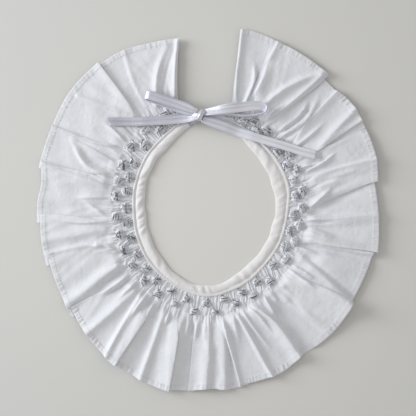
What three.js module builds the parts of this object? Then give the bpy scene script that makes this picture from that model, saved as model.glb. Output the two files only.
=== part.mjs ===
// A gathered and smocked collar laid flat, with its ribbon tied in a bow.
// Millimetres, +Z up, the cloth resting on z = 0.
// The neck hole is round the working centre; an angle of 0 is the middle of the
// neck opening (+Y), and angles grow clockwise seen from above.
import * as THREE from 'three';
import { mergeVertices } from 'three/addons/utils/BufferGeometryUtils.js';

// Driving dimensions
const clothWall = 1.0;          // thickness of the frill's wall
const layerStep = 1.7;          // rise from one layer of a fold to the next
const seamGap = 0.3;            // space left at every seam
const bindingHeight = 2.4;      // thickness of the folded binding
const bandPlain = 2.0;          // smocked band's thickness between its raised cells
const bandPleatRise = 0.45;     // how far each small pleat stands up
const bandCellRise = 0.5;       // how far a puffed smocking cell stands up
const pleatCount = 90;          // small pleats in the smocked band
const cellPitch = 10.45;        // angle between neighbouring smocking stitches
const ribbonWidth = 6.3;        // narrow satin ribbon
const ribbonWall = 1.0;         // ribbon's thickness
const frillRows = 9;            // rows from the smocking to the hem
const degreesPerColumn = 2.6;   // spacing of the frill's columns between folds
const foldSteps = 4;            // columns in each half turn pair of a fold
const foldCalm = 3.5;           // reach in degrees within which a fold flattens the ridges
const foldRun = 3.2;            // half length of a fold's slope where it dies out
const partCentreX = 3.6;        // working centre, seen from the middle of the part
const partCentreY = 3.6;

// Radii round the neck: angle, inner edge of the binding, its outer edge,
// outer limit of the smocking.
const neckTable = [
  [0, 59.5, 67.2, 75.4],
  [12, 56.4, 64.9, 74.6],
  [22, 54.5, 62.6, 73.4],
  [30, 51.8, 60.8, 72.0],
  [40, 49.1, 59.6, 71.4],
  [50, 48.0, 59.0, 71.3],
  [60, 47.2, 58.8, 71.3],
  [80, 46.5, 58.3, 71.3],
  [90, 47.1, 56.8, 70.8],
  [100, 47.0, 56.3, 69.8],
  [110, 46.9, 56.9, 70.4],
  [120, 48.0, 57.8, 71.4],
  [130, 49.1, 58.6, 72.5],
  [140, 50.2, 59.6, 74.0],
  [150, 51.8, 61.9, 75.8],
  [160, 54.0, 64.0, 78.4],
  [170, 57.8, 66.0, 80.3],
  [180, 60.0, 68.3, 84.4],
  [190, 60.8, 68.6, 85.2],
  [200, 60.0, 67.6, 83.3],
  [210, 58.3, 66.5, 82.5],
  [220, 55.9, 65.6, 81.4],
  [230, 54.2, 64.5, 80.3],
  [240, 52.9, 63.0, 79.0],
  [250, 51.8, 61.9, 77.6],
  [260, 50.8, 60.8, 77.4],
  [270, 51.0, 60.2, 77.5],
  [280, 51.5, 60.8, 77.6],
  [290, 52.5, 61.0, 78.4],
  [300, 53.2, 61.9, 79.3],
  [310, 54.0, 62.7, 80.0],
  [320, 54.5, 63.4, 80.3],
  [330, 56.4, 64.8, 80.4],
  [340, 60.2, 67.8, 80.8],
  [350, 62.5, 70.2, 81.0],
];

// The frill's folds: angle of the fold's edge at the smocking and at the hem,
// overlap at the hem in degrees, way its edge faces (1 clockwise, -1 back),
// bend of its line, radius of the hem before and after it.
const foldTable = [
  [19.0, 20.0, 1.6, -1, 1.8, 131.8, 131.4],
  [32.5, 41.5, 2.6, 1, 1.8, 130.2, 126.2],
  [51.0, 47.0, 2.6, -1, 1.5, 125.4, 125.8],
  [63.8, 60.5, 1.9, 1, 1.4, 127.9, 127.9],
  [92.0, 81.7, 2.4, 1, 1.6, 124.4, 121.4],
  [112.2, 106.0, 2.6, 1, 1.4, 127.8, 125.4],
  [134.0, 125.0, 3.2, -1, 2.0, 126.4, 127.0],
  [159.0, 149.5, 3.4, -1, 2.4, 129.8, 130.4],
  [176.0, 171.5, 2.8, 1, 1.3, 135.8, 136.8],
  [189.0, 187.6, 1.7, 1, 1.8, 140.2, 139.6],
  [196.0, 193.5, 2.6, -1, 1.8, 142.0, 142.8],
  [210.2, 211.5, 2.8, -1, 1.5, 139.4, 140.2],
  [228.0, 234.0, 2.4, 1, 1.6, 130.9, 134.6],
  [249.0, 253.6, 3.6, 1, 2.2, 128.8, 131.6],
  [261.5, 267.0, 2.6, 1, 1.5, 128.9, 132.2],
  [284.5, 284.0, 1.9, 1, 1.8, 132.0, 133.2],
  [319.5, 321.0, 2.6, 1, 1.8, 136.6, 135.2],
];
// The short ends: angle at the smocking, angle at the hem, bend, hem radius.
const rightEnd = [10.4, 8.9, 1.2, 133.0];
const leftEnd = [341.2, 348.6, 1.1, 127.0];
// Radius of the hem half-way along each panel, from the right end on.
const panelMiddle = [133.2, 130.9, 125.5, 128.2, 127.3, 123.2, 124.8, 130.6, 135.0,
  137.4, 141.0, 142.0, 135.9, 131.6, 130.6, 129.6, 134.8, 132.4];

// Soft ridges of the frill: angle at the smocking and at the hem, half width in
// degrees at each, height at each, where the ridge starts and ends (0 to 1).
const ridgeTable = [
  [12.5, 11.0, 1.6, 1.4, 2.6, 1.0, 0.0, 1.0],
  [16.4, 15.4, 1.3, 1.6, 2.8, 1.6, 0.0, 0.7],
  [25.4, 39.2, 2.0, 1.8, 3.0, 2.2, 0.0, 1.0],
  [40.8, 43.0, 1.4, 1.2, 3.6, 1.4, 0.0, 0.55],
  [45.5, 43.6, 1.6, 1.4, 3.6, 1.6, 0.0, 0.85],
  [55.0, 51.5, 2.0, 2.6, 2.6, 1.0, 0.0, 1.0],
  [61.5, 55.4, 1.6, 1.7, 3.6, 2.4, 0.0, 1.0],
  [68.3, 66.4, 1.8, 2.2, 3.2, 1.4, 0.0, 0.8],
  [76.0, 73.8, 2.0, 1.6, 2.8, 1.6, 0.0, 1.0],
  [86.5, 79.0, 2.2, 2.0, 3.0, 1.0, 0.0, 1.0],
  [98.5, 92.8, 1.8, 2.0, 3.0, 1.8, 0.0, 1.0],
  [107.5, 101.5, 2.0, 2.6, 3.0, 1.4, 0.0, 1.0],
  [116.5, 113.5, 1.8, 2.4, 2.6, 0.8, 0.0, 0.9],
  [121.5, 122.5, 1.4, 2.0, 3.0, 0.9, 0.0, 0.9],
  [129.5, 127.0, 1.3, 1.6, 3.0, 1.2, 0.0, 0.6],
  [139.0, 131.0, 2.0, 2.8, 3.2, 1.6, 0.0, 1.0],
  [143.5, 141.5, 1.6, 2.6, 3.2, 1.6, 0.0, 1.0],
  [151.2, 150.0, 1.3, 1.4, 3.4, 1.2, 0.0, 0.5],
  [164.0, 156.0, 1.4, 2.0, 3.4, 1.6, 0.0, 0.8],
  [168.0, 160.8, 1.3, 1.6, 3.6, 2.4, 0.0, 1.0],
  [171.5, 170.0, 1.6, 2.0, 3.2, 0.8, 0.0, 0.9],
  [179.5, 177.0, 1.4, 0.9, 3.6, 3.4, 0.0, 1.0],
  [184.5, 183.8, 1.8, 1.8, 3.4, 2.0, 0.0, 1.0],
  [200.5, 195.7, 1.4, 1.4, 3.8, 3.0, 0.0, 1.0],
  [205.5, 202.9, 1.3, 1.3, 3.4, 2.4, 0.0, 1.0],
  [215.2, 213.5, 1.4, 2.0, 3.2, 0.8, 0.0, 0.7],
  [219.6, 215.4, 1.3, 1.5, 3.8, 2.6, 0.0, 1.0],
  [224.0, 226.5, 1.7, 2.2, 3.6, 1.6, 0.0, 1.0],
  [231.4, 232.0, 1.4, 1.4, 3.2, 0.8, 0.0, 0.6],
  [240.5, 239.2, 2.0, 2.2, 3.6, 2.0, 0.0, 1.0],
  [247.0, 246.5, 2.2, 3.0, 3.0, 1.0, 0.0, 1.0],
  [258.0, 260.5, 1.6, 1.6, 3.2, 1.8, 0.0, 1.0],
  [268.5, 270.5, 2.2, 2.2, 2.6, 0.8, 0.0, 0.9],
  [277.0, 276.5, 2.2, 2.6, 2.8, 1.2, 0.0, 1.0],
  [288.0, 296.3, 1.8, 1.1, 2.6, 2.6, 0.0, 1.0],
  [296.0, 302.5, 2.0, 2.4, 2.8, 1.0, 0.0, 1.0],
  [306.0, 306.5, 2.0, 2.2, 2.8, 1.2, 0.0, 1.0],
  [313.5, 312.5, 2.0, 2.6, 2.8, 1.2, 0.0, 1.0],
  [325.5, 329.6, 1.6, 1.6, 3.0, 1.8, 0.0, 1.0],
  [330.5, 339.5, 2.0, 2.6, 3.0, 1.8, 0.0, 1.0],
  [338.0, 347.4, 1.5, 1.2, 3.0, 1.6, 0.0, 1.0],
];

const degree = Math.PI / 180;
const clamp = (value, low, high) => Math.min(high, Math.max(low, value));
const mix = (a, b, share) => a + (b - a) * share;

// Smooth step from 0 to 1 over a share clamped to 0..1.
function ease(share) {
  const s = clamp(share, 0, 1);
  return s * s * (3 - 2 * s);
}

// Column of neckTable at an angle, joined by straight stretches.
function neckRadius(angle, column) {
  const last = neckTable.length - 1;
  const a = clamp(angle, neckTable[0][0], neckTable[last][0]);
  let row = 0;
  while (row < last - 1 && neckTable[row + 1][0] < a) row += 1;
  const low = neckTable[row];
  const high = neckTable[row + 1];
  return mix(low[column], high[column], ease((a - low[0]) / (high[0] - low[0])) * 0.4
    + 0.6 * (a - low[0]) / (high[0] - low[0]));
}

// Point at a radius and an angle round the working centre, at height z.
function polar(radius, angle, z) {
  const a = angle * degree;
  return [partCentreX + radius * Math.sin(a), partCentreY + radius * Math.cos(a), z];
}

// A closed wall from two grids of points with the same rows and columns. The
// outer grid faces up; the inner one is under it; the rims join the two.
function wallGeometry(outer, inner) {
  const rows = outer.length;
  const columns = outer[0].length;
  const points = [];
  for (const grid of [outer, inner]) for (const row of grid) for (const p of row) points.push(...p);
  const at = (side, row, column) => (side * rows + row) * columns + column;
  const faces = [];
  const quad = (a, b, c, d) => faces.push(a, b, c, a, c, d);
  for (let r = 0; r < rows - 1; r += 1) {
    for (let c = 0; c < columns - 1; c += 1) {
      quad(at(0, r, c), at(0, r + 1, c), at(0, r + 1, c + 1), at(0, r, c + 1));
      quad(at(1, r, c), at(1, r, c + 1), at(1, r + 1, c + 1), at(1, r + 1, c));
    }
  }
  for (let c = 0; c < columns - 1; c += 1) {
    quad(at(0, 0, c), at(0, 0, c + 1), at(1, 0, c + 1), at(1, 0, c));
    quad(at(0, rows - 1, c), at(1, rows - 1, c), at(1, rows - 1, c + 1), at(0, rows - 1, c + 1));
  }
  for (let r = 0; r < rows - 1; r += 1) {
    quad(at(0, r, 0), at(1, r, 0), at(1, r + 1, 0), at(0, r + 1, 0));
    quad(at(0, r, columns - 1), at(0, r + 1, columns - 1), at(1, r + 1, columns - 1), at(1, r, columns - 1));
  }
  return outward(points, faces);
}

// Geometry from points and triangles, turned so that its volume is positive.
function outward(points, faces) {
  let volume = 0;
  for (let f = 0; f < faces.length; f += 3) {
    const [a, b, c] = [0, 1, 2].map((k) => points.slice(faces[f + k] * 3, faces[f + k] * 3 + 3));
    volume += a[0] * (b[1] * c[2] - b[2] * c[1]) - a[1] * (b[0] * c[2] - b[2] * c[0])
      + a[2] * (b[0] * c[1] - b[1] * c[0]);
  }
  if (volume < 0) {
    for (let f = 0; f < faces.length; f += 3) [faces[f + 1], faces[f + 2]] = [faces[f + 2], faces[f + 1]];
  }
  const geometry = new THREE.BufferGeometry();
  geometry.setAttribute('position', new THREE.Float32BufferAttribute(points, 3));
  geometry.setIndex(faces);
  const merged = mergeVertices(geometry, 1e-4);
  merged.computeVertexNormals();
  return merged;
}

// Share of the way from a line's inner angle to its hem angle.
const lineShare = (t, bend) => 1 - Math.pow(1 - t, bend);

// Height that the soft ridges and the small gathers give the frill. The ridges are
// lower where the cloth is folded over itself, so that its layers stay apart.
function ridgeHeight(angle, t) {
  let height = 0;
  for (const [inner, hem, innerWidth, hemWidth, innerHeight, hemHeight, from, to] of ridgeTable) {
    const centre = mix(inner, hem, lineShare(t, 1.4));
    const away = Math.abs(angle - centre) / mix(innerWidth, hemWidth, t);
    if (away > 2.2) continue;
    const fade = to < 1 ? 1 - ease((t - to + 0.25) / 0.25) : 1;
    const start = from > 0 ? ease((t - from) / 0.2) : 1;
    height += mix(innerHeight, hemHeight, ease(t * 1.3)) * Math.exp(-away * away * 1.3) * fade * start;
  }
  const gather = 0.5 + 0.5 * Math.cos((angle - 98.2) / cellPitch * 2 * Math.PI);
  let calm = 1;
  for (const [inner, hem, overlap, faces, bend] of foldTable) {
    const width = overlap * ease((t - 0.14) / 0.7);
    const centre = mix(inner, hem, lineShare(t, bend)) - faces * width / 2;
    const away = Math.max(0, Math.abs(angle - centre) - width / 2) / foldCalm;
    calm = Math.min(calm, 1 - 0.6 * Math.exp(-away * away));
  }
  return calm * height * (0.45 + 0.55 * ease(t / 0.15)) + 0.9 * gather * (1 - ease(t / 0.4));
}

// The frill's centre line at a share t of the way from the smocking to the hem, as
// columns of angle, height and hem radius: through each panel, then each fold.
function frillLine(t) {
  const columns = [];
  const opened = 1 - ease((t - 0.08) / 0.26);
  const widthShare = ease((t - 0.14) / 0.7);
  const stations = foldTable.map(([inner, hem, overlap, faces, bend, before, after]) => {
    const width = overlap * widthShare;
    const edge = mix(inner, hem, lineShare(t, bend));
    const centre = edge - faces * width / 2;
    const radius = mix(neckRadius(centre, 3) + seamGap, (before + after) / 2, t);
    const perDegree = radius * degree;
    const run = foldRun / perDegree;
    const bulge = layerStep / 2 / perDegree;
    const lift = 2 * layerStep * ease(t / 0.2 + 0.15);
    return { centre, width, run, bulge, faces, before, after, perDegree,
      zIn: faces > 0 ? lift : 0, zOut: faces > 0 ? 0 : lift,
      enter: mix(centre + width / 2, centre - run, opened),
      leave: mix(centre - width / 2, centre + run, opened),
      clearLow: Math.min(centre - width / 2 - bulge, centre - run * opened) - 0.7 / perDegree,
      clearHigh: Math.max(centre + width / 2 + bulge, centre + run * opened) + 0.7 / perDegree };
  });
  const first = { leave: mix(rightEnd[0], rightEnd[1], lineShare(t, rightEnd[2])), zOut: 0,
    clearHigh: 0, after: rightEnd[3] };
  const last = { enter: mix(leftEnd[0], leftEnd[1], lineShare(t, leftEnd[2])), zIn: 0,
    clearLow: 360, before: leftEnd[3] };
  const all = [first, ...stations, last];
  for (let i = 0; i < all.length - 1; i += 1) {
    const from = all[i];
    const to = all[i + 1];
    const hemFrom = i === 0 ? rightEnd[1] : foldTable[i - 1][1];
    const hemTo = i === all.length - 2 ? leftEnd[1] : foldTable[i][1];
    const count = Math.max(3, Math.round((hemTo - hemFrom) / degreesPerColumn));
    const low = Math.max(from.leave, from.clearHigh);
    const high = Math.min(to.enter, to.clearLow);
    for (let k = 0; k <= count; k += 1) {
      const share = k / count;
      const angle = mix(from.leave, to.enter, share);
      const climb = ease((angle - low) / Math.max(high - low, 0.01));
      const arch = Math.sin(Math.PI * share);
      const middle = panelMiddle[i] - (from.after + to.before) / 2;
      columns.push({ angle, z: mix(from.zOut, to.zIn, climb),
        hem: mix(from.after, to.before, share) + middle * arch * arch });
    }
    if (i === all.length - 2) break;
    const bend = to;
    for (let k = 1; k < foldSteps * 2; k += 1) {
      const phi = Math.PI * k / foldSteps;
      const second = k > foldSteps;
      const turn = second ? phi - Math.PI : phi;
      const swing = Math.sin(turn) * bend.bulge;
      const turned = second ? bend.centre - bend.width / 2 - swing : bend.centre + bend.width / 2 + swing;
      const fall = 0.25 * (1 - Math.cos(turn)) + (second ? 0.5 : 0);
      const share = k / (foldSteps * 2);
      const plain = bend.centre + bend.run * (2 * share - 1);
      columns.push({ angle: mix(turned, plain, opened),
        z: mix(bend.zIn, bend.zOut, mix(fall, ease(share), opened)),
        hem: mix(bend.before, bend.after, share) });
    }
  }
  return columns;
}

// Rows of the frill as outer and inner points, moved half a wall off the centre
// line at right angles to it.
function frillGrids() {
  const outer = [];
  const inner = [];
  for (let row = 0; row <= frillRows; row += 1) {
    const t = Math.pow(row / frillRows, 1.15);
    const base = 0.5 * clothWall + 0.9 * (1 - ease(t / 0.3));
    const line = frillLine(t).map(({ angle, z, hem }) => {
      const start = neckRadius(angle, 3) + seamGap;
      const radius = mix(start, hem, t);
      return { angle, radius, along: angle * degree * radius, arc: degree * mix(start, 131, t),
        z: base + z + ridgeHeight(angle, t) };
    });
    const top = [];
    const under = [];
    line.forEach((point, k) => {
      const before = line[Math.max(k - 1, 0)];
      const after = line[Math.min(k + 1, line.length - 1)];
      const first = [(point.angle - before.angle) * point.arc, point.z - before.z];
      const second = [(after.angle - point.angle) * point.arc, after.z - point.z];
      const a = Math.hypot(...first) || 1;
      const b = Math.hypot(...second) || 1;
      const along = [first[0] / a + second[0] / b, first[1] / a + second[1] / b];
      if (k === 0 || k === line.length - 1) along[1] *= 0.3;
      const size = Math.hypot(...along) || 1;
      const stretch = clothWall / 2 / Math.max(0.82, size / 2 || 1);
      const shift = [-along[1] / size * stretch / point.arc, along[0] / size * stretch];
      top.push(polar(point.radius, point.angle + shift[0], point.z + shift[1]));
      under.push(polar(point.radius, point.angle - shift[0], Math.max(0, point.z - shift[1])));
    });
    outer.push(top);
    inner.push(under);
  }
  return [outer, inner];
}

// Start and end angle of the neck's pieces at a radius: both slant to the opening.
const neckStart = (radius) => mix(1.6, 10.4, clamp((radius - 59) / 16.5, 0, 1));
const neckFinish = (radius) => mix(343.6, 341.2, clamp((radius - 61) / 20, 0, 1));

// The smocked band: a plain underside, and an outer side raised in small radial
// pleats and in two staggered rows of puffed cells.
function smockedBandGrids() {
  const outer = [];
  const inner = [];
  const rows = 4;
  const columns = pleatCount * 2;
  for (let row = 0; row <= rows; row += 1) {
    const t = row / rows;
    const top = [];
    const under = [];
    for (let k = 0; k <= columns; k += 1) {
      const share = k / columns;
      const guess = mix(6, 342.5, share);
      const radiusGuess = mix(neckRadius(guess, 2), neckRadius(guess, 3), t);
      const angle = mix(neckStart(radiusGuess), neckFinish(radiusGuess), share);
      const radius = mix(neckRadius(angle, 2) + seamGap, neckRadius(angle, 3), t);
      const pleat = k % 2;
      const stagger = t < 0.5 ? 0.5 : 0;
      const cell = 0.5 + 0.5 * Math.cos(((angle - 98.2) / cellPitch + stagger) * 2 * Math.PI);
      const swell = Math.sin(Math.PI * ((t * 2) % 1 || 0.02));
      const rise = bandPleatRise * pleat + bandCellRise * cell * Math.max(swell, 0.25);
      top.push(polar(radius, angle, bandPlain + rise));
      under.push(polar(radius, angle, 0));
    }
    outer.push(top);
    inner.push(under);
  }
  return [outer, inner];
}

// The binding: a folded strip with a rounded rim at the neck, slightly puckered.
function bindingGrids() {
  const columns = 72;
  const profile = [[0.02, 0.45], [0.08, 0.8], [0.2, 0.96], [0.6, 1.0], [1.0, 0.9]];
  const outer = [];
  const inner = [];
  for (const [across, high] of profile) {
    const top = [];
    const under = [];
    for (let k = 0; k <= columns; k += 1) {
      const share = k / columns;
      const guess = mix(3, 343, share);
      const radiusGuess = mix(neckRadius(guess, 1), neckRadius(guess, 2), across);
      const angle = mix(neckStart(radiusGuess), neckFinish(radiusGuess), share);
      const radius = mix(neckRadius(angle, 1), neckRadius(angle, 2), across);
      const pucker = 0.12 * Math.sin(angle * 0.62 + across * 2.5) * (across > 0.1 ? 1 : 0);
      top.push(polar(radius, angle, bindingHeight * high + pucker));
      under.push(polar(radius, angle, across < 0.05 ? 0.35 : 0));
    }
    outer.push(top);
    inner.push(under);
  }
  return [outer, inner];
}

// Greatest height of the given geometries within a reach of a point.
function highestNear(geometries, x, y, reach) {
  let best = 0;
  for (const geometry of geometries) {
    const position = geometry.attributes.position;
    const index = geometry.index.array;
    for (let f = 0; f < index.length; f += 3) {
      let high = 0;
      let lowX = Infinity;
      let highX = -Infinity;
      let lowY = Infinity;
      let highY = -Infinity;
      for (let k = 0; k < 3; k += 1) {
        const p = index[f + k];
        lowX = Math.min(lowX, position.getX(p));
        highX = Math.max(highX, position.getX(p));
        lowY = Math.min(lowY, position.getY(p));
        highY = Math.max(highY, position.getY(p));
        high = Math.max(high, position.getZ(p));
      }
      if (lowX > x + reach || highX < x - reach || lowY > y + reach || highY < y - reach) continue;
      best = Math.max(best, high);
    }
  }
  return best;
}

// A stretch of ribbon as a closed wall. Each row gives the centre's x, y and z,
// the way its width runs in plan in degrees, its tilt up from level, its width.
// An empty z lies just over the pieces under it.
function ribbonGeometry(rows, under, perStretch) {
  const centres = rows.map(([x, y, z, side, tilt, width]) => {
    const a = partCentreX + x;
    const b = partCentreY + y;
    let height = z;
    if (z === null) {
      height = 0;
      for (const share of [-0.5, -0.25, 0, 0.25, 0.5]) {
        const px = a + share * width * Math.cos(side * degree);
        const py = b + share * width * Math.sin(side * degree);
        height = Math.max(height, highestNear(under, px, py, 2.9));
      }
      height += seamGap + ribbonWall / 2;
    }
    return { point: new THREE.Vector3(a, b, height), side, tilt, width };
  });
  const path = new THREE.CatmullRomCurve3(centres.map((c) => c.point), false, 'centripetal');
  const count = (rows.length - 1) * perStretch;
  const outer = [];
  const inner = [];
  for (const sign of [-1, 1]) {
    const top = [];
    const low = [];
    for (let k = 0; k <= count; k += 1) {
      const place = Math.min(Math.floor(k / perStretch), rows.length - 2);
      const share = k / perStretch - place;
      const point = path.getPoint(k / count);
      const ahead = path.getPoint(Math.min(1, k / count + 0.01));
      const behind = path.getPoint(Math.max(0, k / count - 0.01));
      const tangent = ahead.sub(behind).normalize();
      const side = mix(centres[place].side, centres[place + 1].side, share) * degree;
      const tilt = mix(centres[place].tilt, centres[place + 1].tilt, share) * degree;
      const width = mix(centres[place].width, centres[place + 1].width, share);
      const across = new THREE.Vector3(Math.cos(side) * Math.cos(tilt),
        Math.sin(side) * Math.cos(tilt), Math.sin(tilt));
      const normal = new THREE.Vector3().crossVectors(tangent, across).normalize();
      const edge = point.clone().addScaledVector(across, sign * width / 2);
      top.push(edge.clone().addScaledVector(normal, ribbonWall / 2).toArray());
      low.push(edge.clone().addScaledVector(normal, -ribbonWall / 2).toArray());
    }
    outer.push(top);
    inner.push(low);
  }
  return wallGeometry(outer, inner);
}

// The bow's knot: a small rounded pad of ribbon drawn tight, set slanting.
function knotGeometry() {
  const ball = new THREE.SphereGeometry(1, 16, 10);
  ball.deleteAttribute('normal');
  ball.deleteAttribute('uv');
  const position = ball.attributes.position;
  for (let k = 0; k < position.count; k += 1) {
    const [x, y, z] = [position.getX(k), position.getY(k), position.getZ(k)];
    const square = (value) => Math.sign(value) * Math.pow(Math.abs(value), 0.75);
    const p = new THREE.Vector3(square(x) * 2.3, square(y) * 4.1, square(z) * 2.7);
    p.applyAxisAngle(new THREE.Vector3(0, 0, 1), -20 * degree);
    position.setXYZ(k, p.x + partCentreX - 9.4, p.y + partCentreY + 67.1, p.z + 7.4);
  }
  return outward(Array.from(position.array), Array.from(ball.index.array));
}

const cotton = { color: 0xe9ebf1, roughness: 0.88, metalness: 0 };
const satin = { color: 0xc9cbdc, roughness: 0.42, metalness: 0 };
const group = new THREE.Group();
group.name = 'embroidered_collar';

function addPiece(name, geometry, finish) {
  const mesh = new THREE.Mesh(geometry, new THREE.MeshStandardMaterial(finish));
  mesh.name = name;
  group.add(mesh);
  return geometry;
}

const frill = addPiece('frill', wallGeometry(...frillGrids()), cotton);
const band = addPiece('smocked_band', wallGeometry(...smockedBandGrids()), cotton);
const binding = addPiece('neck_binding', wallGeometry(...bindingGrids()), cotton);
const cloth = [frill, band, binding];

// Ribbon stretches: x, y, z of the centre from the neck's middle, way of the
// width in plan, tilt, width.
const loopLeft = [
  [-13.4, 69.9, 9.5, 73, 32, 4.6],
  [-18.0, 71.9, 9.2, 73, 20, 6.0],
  [-29.6, 75.8, 8.4, 73, 4, ribbonWidth],
  [-46.6, 80.9, 7.7, 74, 0, ribbonWidth],
  [-50.3, 81.5, 6.3, 76, 0, ribbonWidth],
  [-47.0, 79.9, 4.9, 76, 0, ribbonWidth],
  [-38.0, 76.8, 5.0, 75, 0, ribbonWidth],
  [-27.0, 73.4, 5.9, 73, 0, ribbonWidth],
  [-18.4, 70.6, 6.9, 73, 18, 5.0],
  [-13.7, 69.0, 6.7, 73, 32, 3.6],
];
const loopRight = [
  [-5.6, 69.4, 8.9, 96, 60, 4.4],
  [5.2, 70.6, 10.2, 98, 50, 5.2],
  [20.2, 72.6, 10.8, 100, 22, ribbonWidth],
  [33.4, 73.9, 11.2, 98, 22, ribbonWidth],
  [38.3, 71.6, 10.9, 60, 48, ribbonWidth],
  [37.8, 66.6, 10.3, 84, 74, ribbonWidth],
  [25.0, 64.9, 7.6, 92, 78, ribbonWidth],
  [6.4, 66.9, 6.9, 92, 74, 4.8],
  [-5.4, 66.8, 7.8, 96, 66, 3.8],
];
const tailLeft = [
  [-13.6, 64.2, 4.9, 98, 12, 4.2],
  [-18.5, 64.0, null, 95, 4, 5.4],
  [-25.5, 64.2, null, 93, 0, ribbonWidth],
  [-35.0, 63.2, null, 92, 0, ribbonWidth],
  [-45.0, 62.6, null, 90, 0, ribbonWidth],
  [-56.0, 62.2, null, 90, 0, ribbonWidth],
  [-62.0, 62.1, null, 90, 0, ribbonWidth],
  [-67.0, 62.0, null, 90, 0, ribbonWidth],
  [-78.0, 61.8, null, 114, 0, 6.9],
];
const tailRight = [
  [-5.9, 63.5, 5.1, 62, 14, 4.6],
  [0.0, 61.0, 5.4, 63, 6, 5.6],
  [7.0, 58.4, 4.6, 66, 0, ribbonWidth],
  [18.0, 54.8, null, 70, 0, ribbonWidth],
  [27.0, 51.9, null, 71, 0, ribbonWidth],
  [36.5, 49.0, null, 71, 0, ribbonWidth],
  [46.0, 46.2, null, 71, 0, ribbonWidth],
  [56.0, 43.2, null, 69, 0, ribbonWidth],
  [66.0, 39.9, null, 69, 0, ribbonWidth],
  [76.4, 37.0, null, 84, 0, 6.5],
];
const tieLeft = [
  [-17.7, 62.8, 1.3, 106, 0, ribbonWidth],
  [-14.0, 64.1, 2.6, 110, 0, 5.2],
  [-10.2, 66.2, 3.8, 114, 0, 3.6],
];
const tieRight = [
  [3.5, 63.7, 1.3, 56, 0, ribbonWidth],
  [-2.2, 65.2, 2.7, 68, 0, 5.2],
  [-8.4, 66.6, 3.8, 78, 0, 3.6],
];
addPiece('bow_loop_left', ribbonGeometry(loopLeft, cloth, 3), satin);
addPiece('bow_loop_right', ribbonGeometry(loopRight, cloth, 3), satin);
addPiece('bow_tail_left', ribbonGeometry(tailLeft, cloth, 1), satin);
addPiece('bow_tail_right', ribbonGeometry(tailRight, cloth, 1), satin);
addPiece('bow_knot', knotGeometry(), satin);
addPiece('ribbon_tie_left', ribbonGeometry(tieLeft, cloth, 2), satin);
addPiece('ribbon_tie_right', ribbonGeometry(tieRight, cloth, 2), satin);

export default group;
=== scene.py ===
"""A smocked frill collar laid flat, its ribbon tied in a bow.

Lengths in the tables are millimetres and angles are degrees, clockwise seen from
above, from the middle of the neck opening. The frame is the row's: +Z up from the
surface that the collar lies on.
"""

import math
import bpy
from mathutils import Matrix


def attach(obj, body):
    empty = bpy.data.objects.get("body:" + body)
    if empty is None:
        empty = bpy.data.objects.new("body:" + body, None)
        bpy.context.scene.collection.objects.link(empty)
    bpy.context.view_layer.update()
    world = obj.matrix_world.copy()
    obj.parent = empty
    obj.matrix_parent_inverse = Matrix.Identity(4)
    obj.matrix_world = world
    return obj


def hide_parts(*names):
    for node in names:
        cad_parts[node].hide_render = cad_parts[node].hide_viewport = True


bl_info = {
    "name": "Embroidered collar",
    "version": (1, 0, 0),
    "blender": (4, 5, 0),
    "location": "3D View > Sidebar > Collar",
    "description": "Builds a gathered, hand-smocked cotton collar with a satin bow",
    "category": "Add Mesh",
}

import bpy
import numpy as np
from bpy.props import FloatProperty, IntProperty, PointerProperty

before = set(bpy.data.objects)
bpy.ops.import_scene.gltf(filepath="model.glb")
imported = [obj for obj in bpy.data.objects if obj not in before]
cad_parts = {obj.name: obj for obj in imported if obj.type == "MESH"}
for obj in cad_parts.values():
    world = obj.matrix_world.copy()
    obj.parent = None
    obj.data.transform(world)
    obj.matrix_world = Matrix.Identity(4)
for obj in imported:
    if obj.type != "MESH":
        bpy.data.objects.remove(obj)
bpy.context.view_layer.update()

MM = 0.001
LAYER = 0.8          # rise from one layer of a fold to the next
SEAM = 0.3           # space at the seam between the smocking and the frill
CENTRE = (3.6, 3.6)  # the neck's middle, seen from the middle of the collar
HEM_WIDTH = 4.2      # width of the narrow hem
RIBBON = 6.3         # width of the satin ribbon
MIDDLE_HEM = 131.0   # usual radius of the hem
NECK_ENDS = (3.0, 343.0)  # usual angles of the neck's right and left end
GROOVE = 0.79        # where the edge stitching sinks in, as a share of the binding's width
STITCH_POINTS = 11   # points along a thread of floss
FLOSS_SIDES = 6      # sides of a thread of floss

# angle, inner edge of the binding, its outer edge, outer limit of the smocking
NECK = np.array([
    (0, 59.5, 67.2, 75.4), (12, 56.4, 64.9, 74.6), (22, 54.5, 62.6, 73.4),
    (30, 51.8, 60.8, 72.0), (40, 49.1, 59.6, 71.4), (50, 48.0, 59.0, 71.3),
    (60, 47.2, 58.8, 71.3), (80, 46.5, 58.3, 71.3), (90, 47.1, 56.8, 70.8),
    (100, 47.0, 56.3, 69.8), (110, 46.9, 56.9, 70.4), (120, 48.0, 57.8, 71.4),
    (130, 49.1, 58.6, 72.5), (140, 50.2, 59.6, 74.0), (150, 51.8, 61.9, 75.8),
    (160, 54.0, 64.0, 78.4), (170, 57.8, 66.0, 80.3), (180, 60.0, 68.3, 84.4),
    (190, 60.8, 68.6, 85.2), (200, 60.0, 67.6, 83.3), (210, 58.3, 66.5, 82.5),
    (220, 55.9, 65.6, 81.4), (230, 54.2, 64.5, 80.3), (240, 52.9, 63.0, 79.0),
    (250, 51.8, 61.9, 77.6), (260, 50.8, 60.8, 77.4), (270, 51.0, 60.2, 77.5),
    (280, 51.5, 60.8, 77.6), (290, 52.5, 61.0, 78.4), (300, 53.2, 61.9, 79.3),
    (310, 54.0, 62.7, 80.0), (320, 54.5, 63.4, 80.3), (330, 56.4, 64.8, 80.4),
    (340, 60.2, 67.8, 80.8), (350, 62.5, 70.2, 81.0)])

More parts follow.
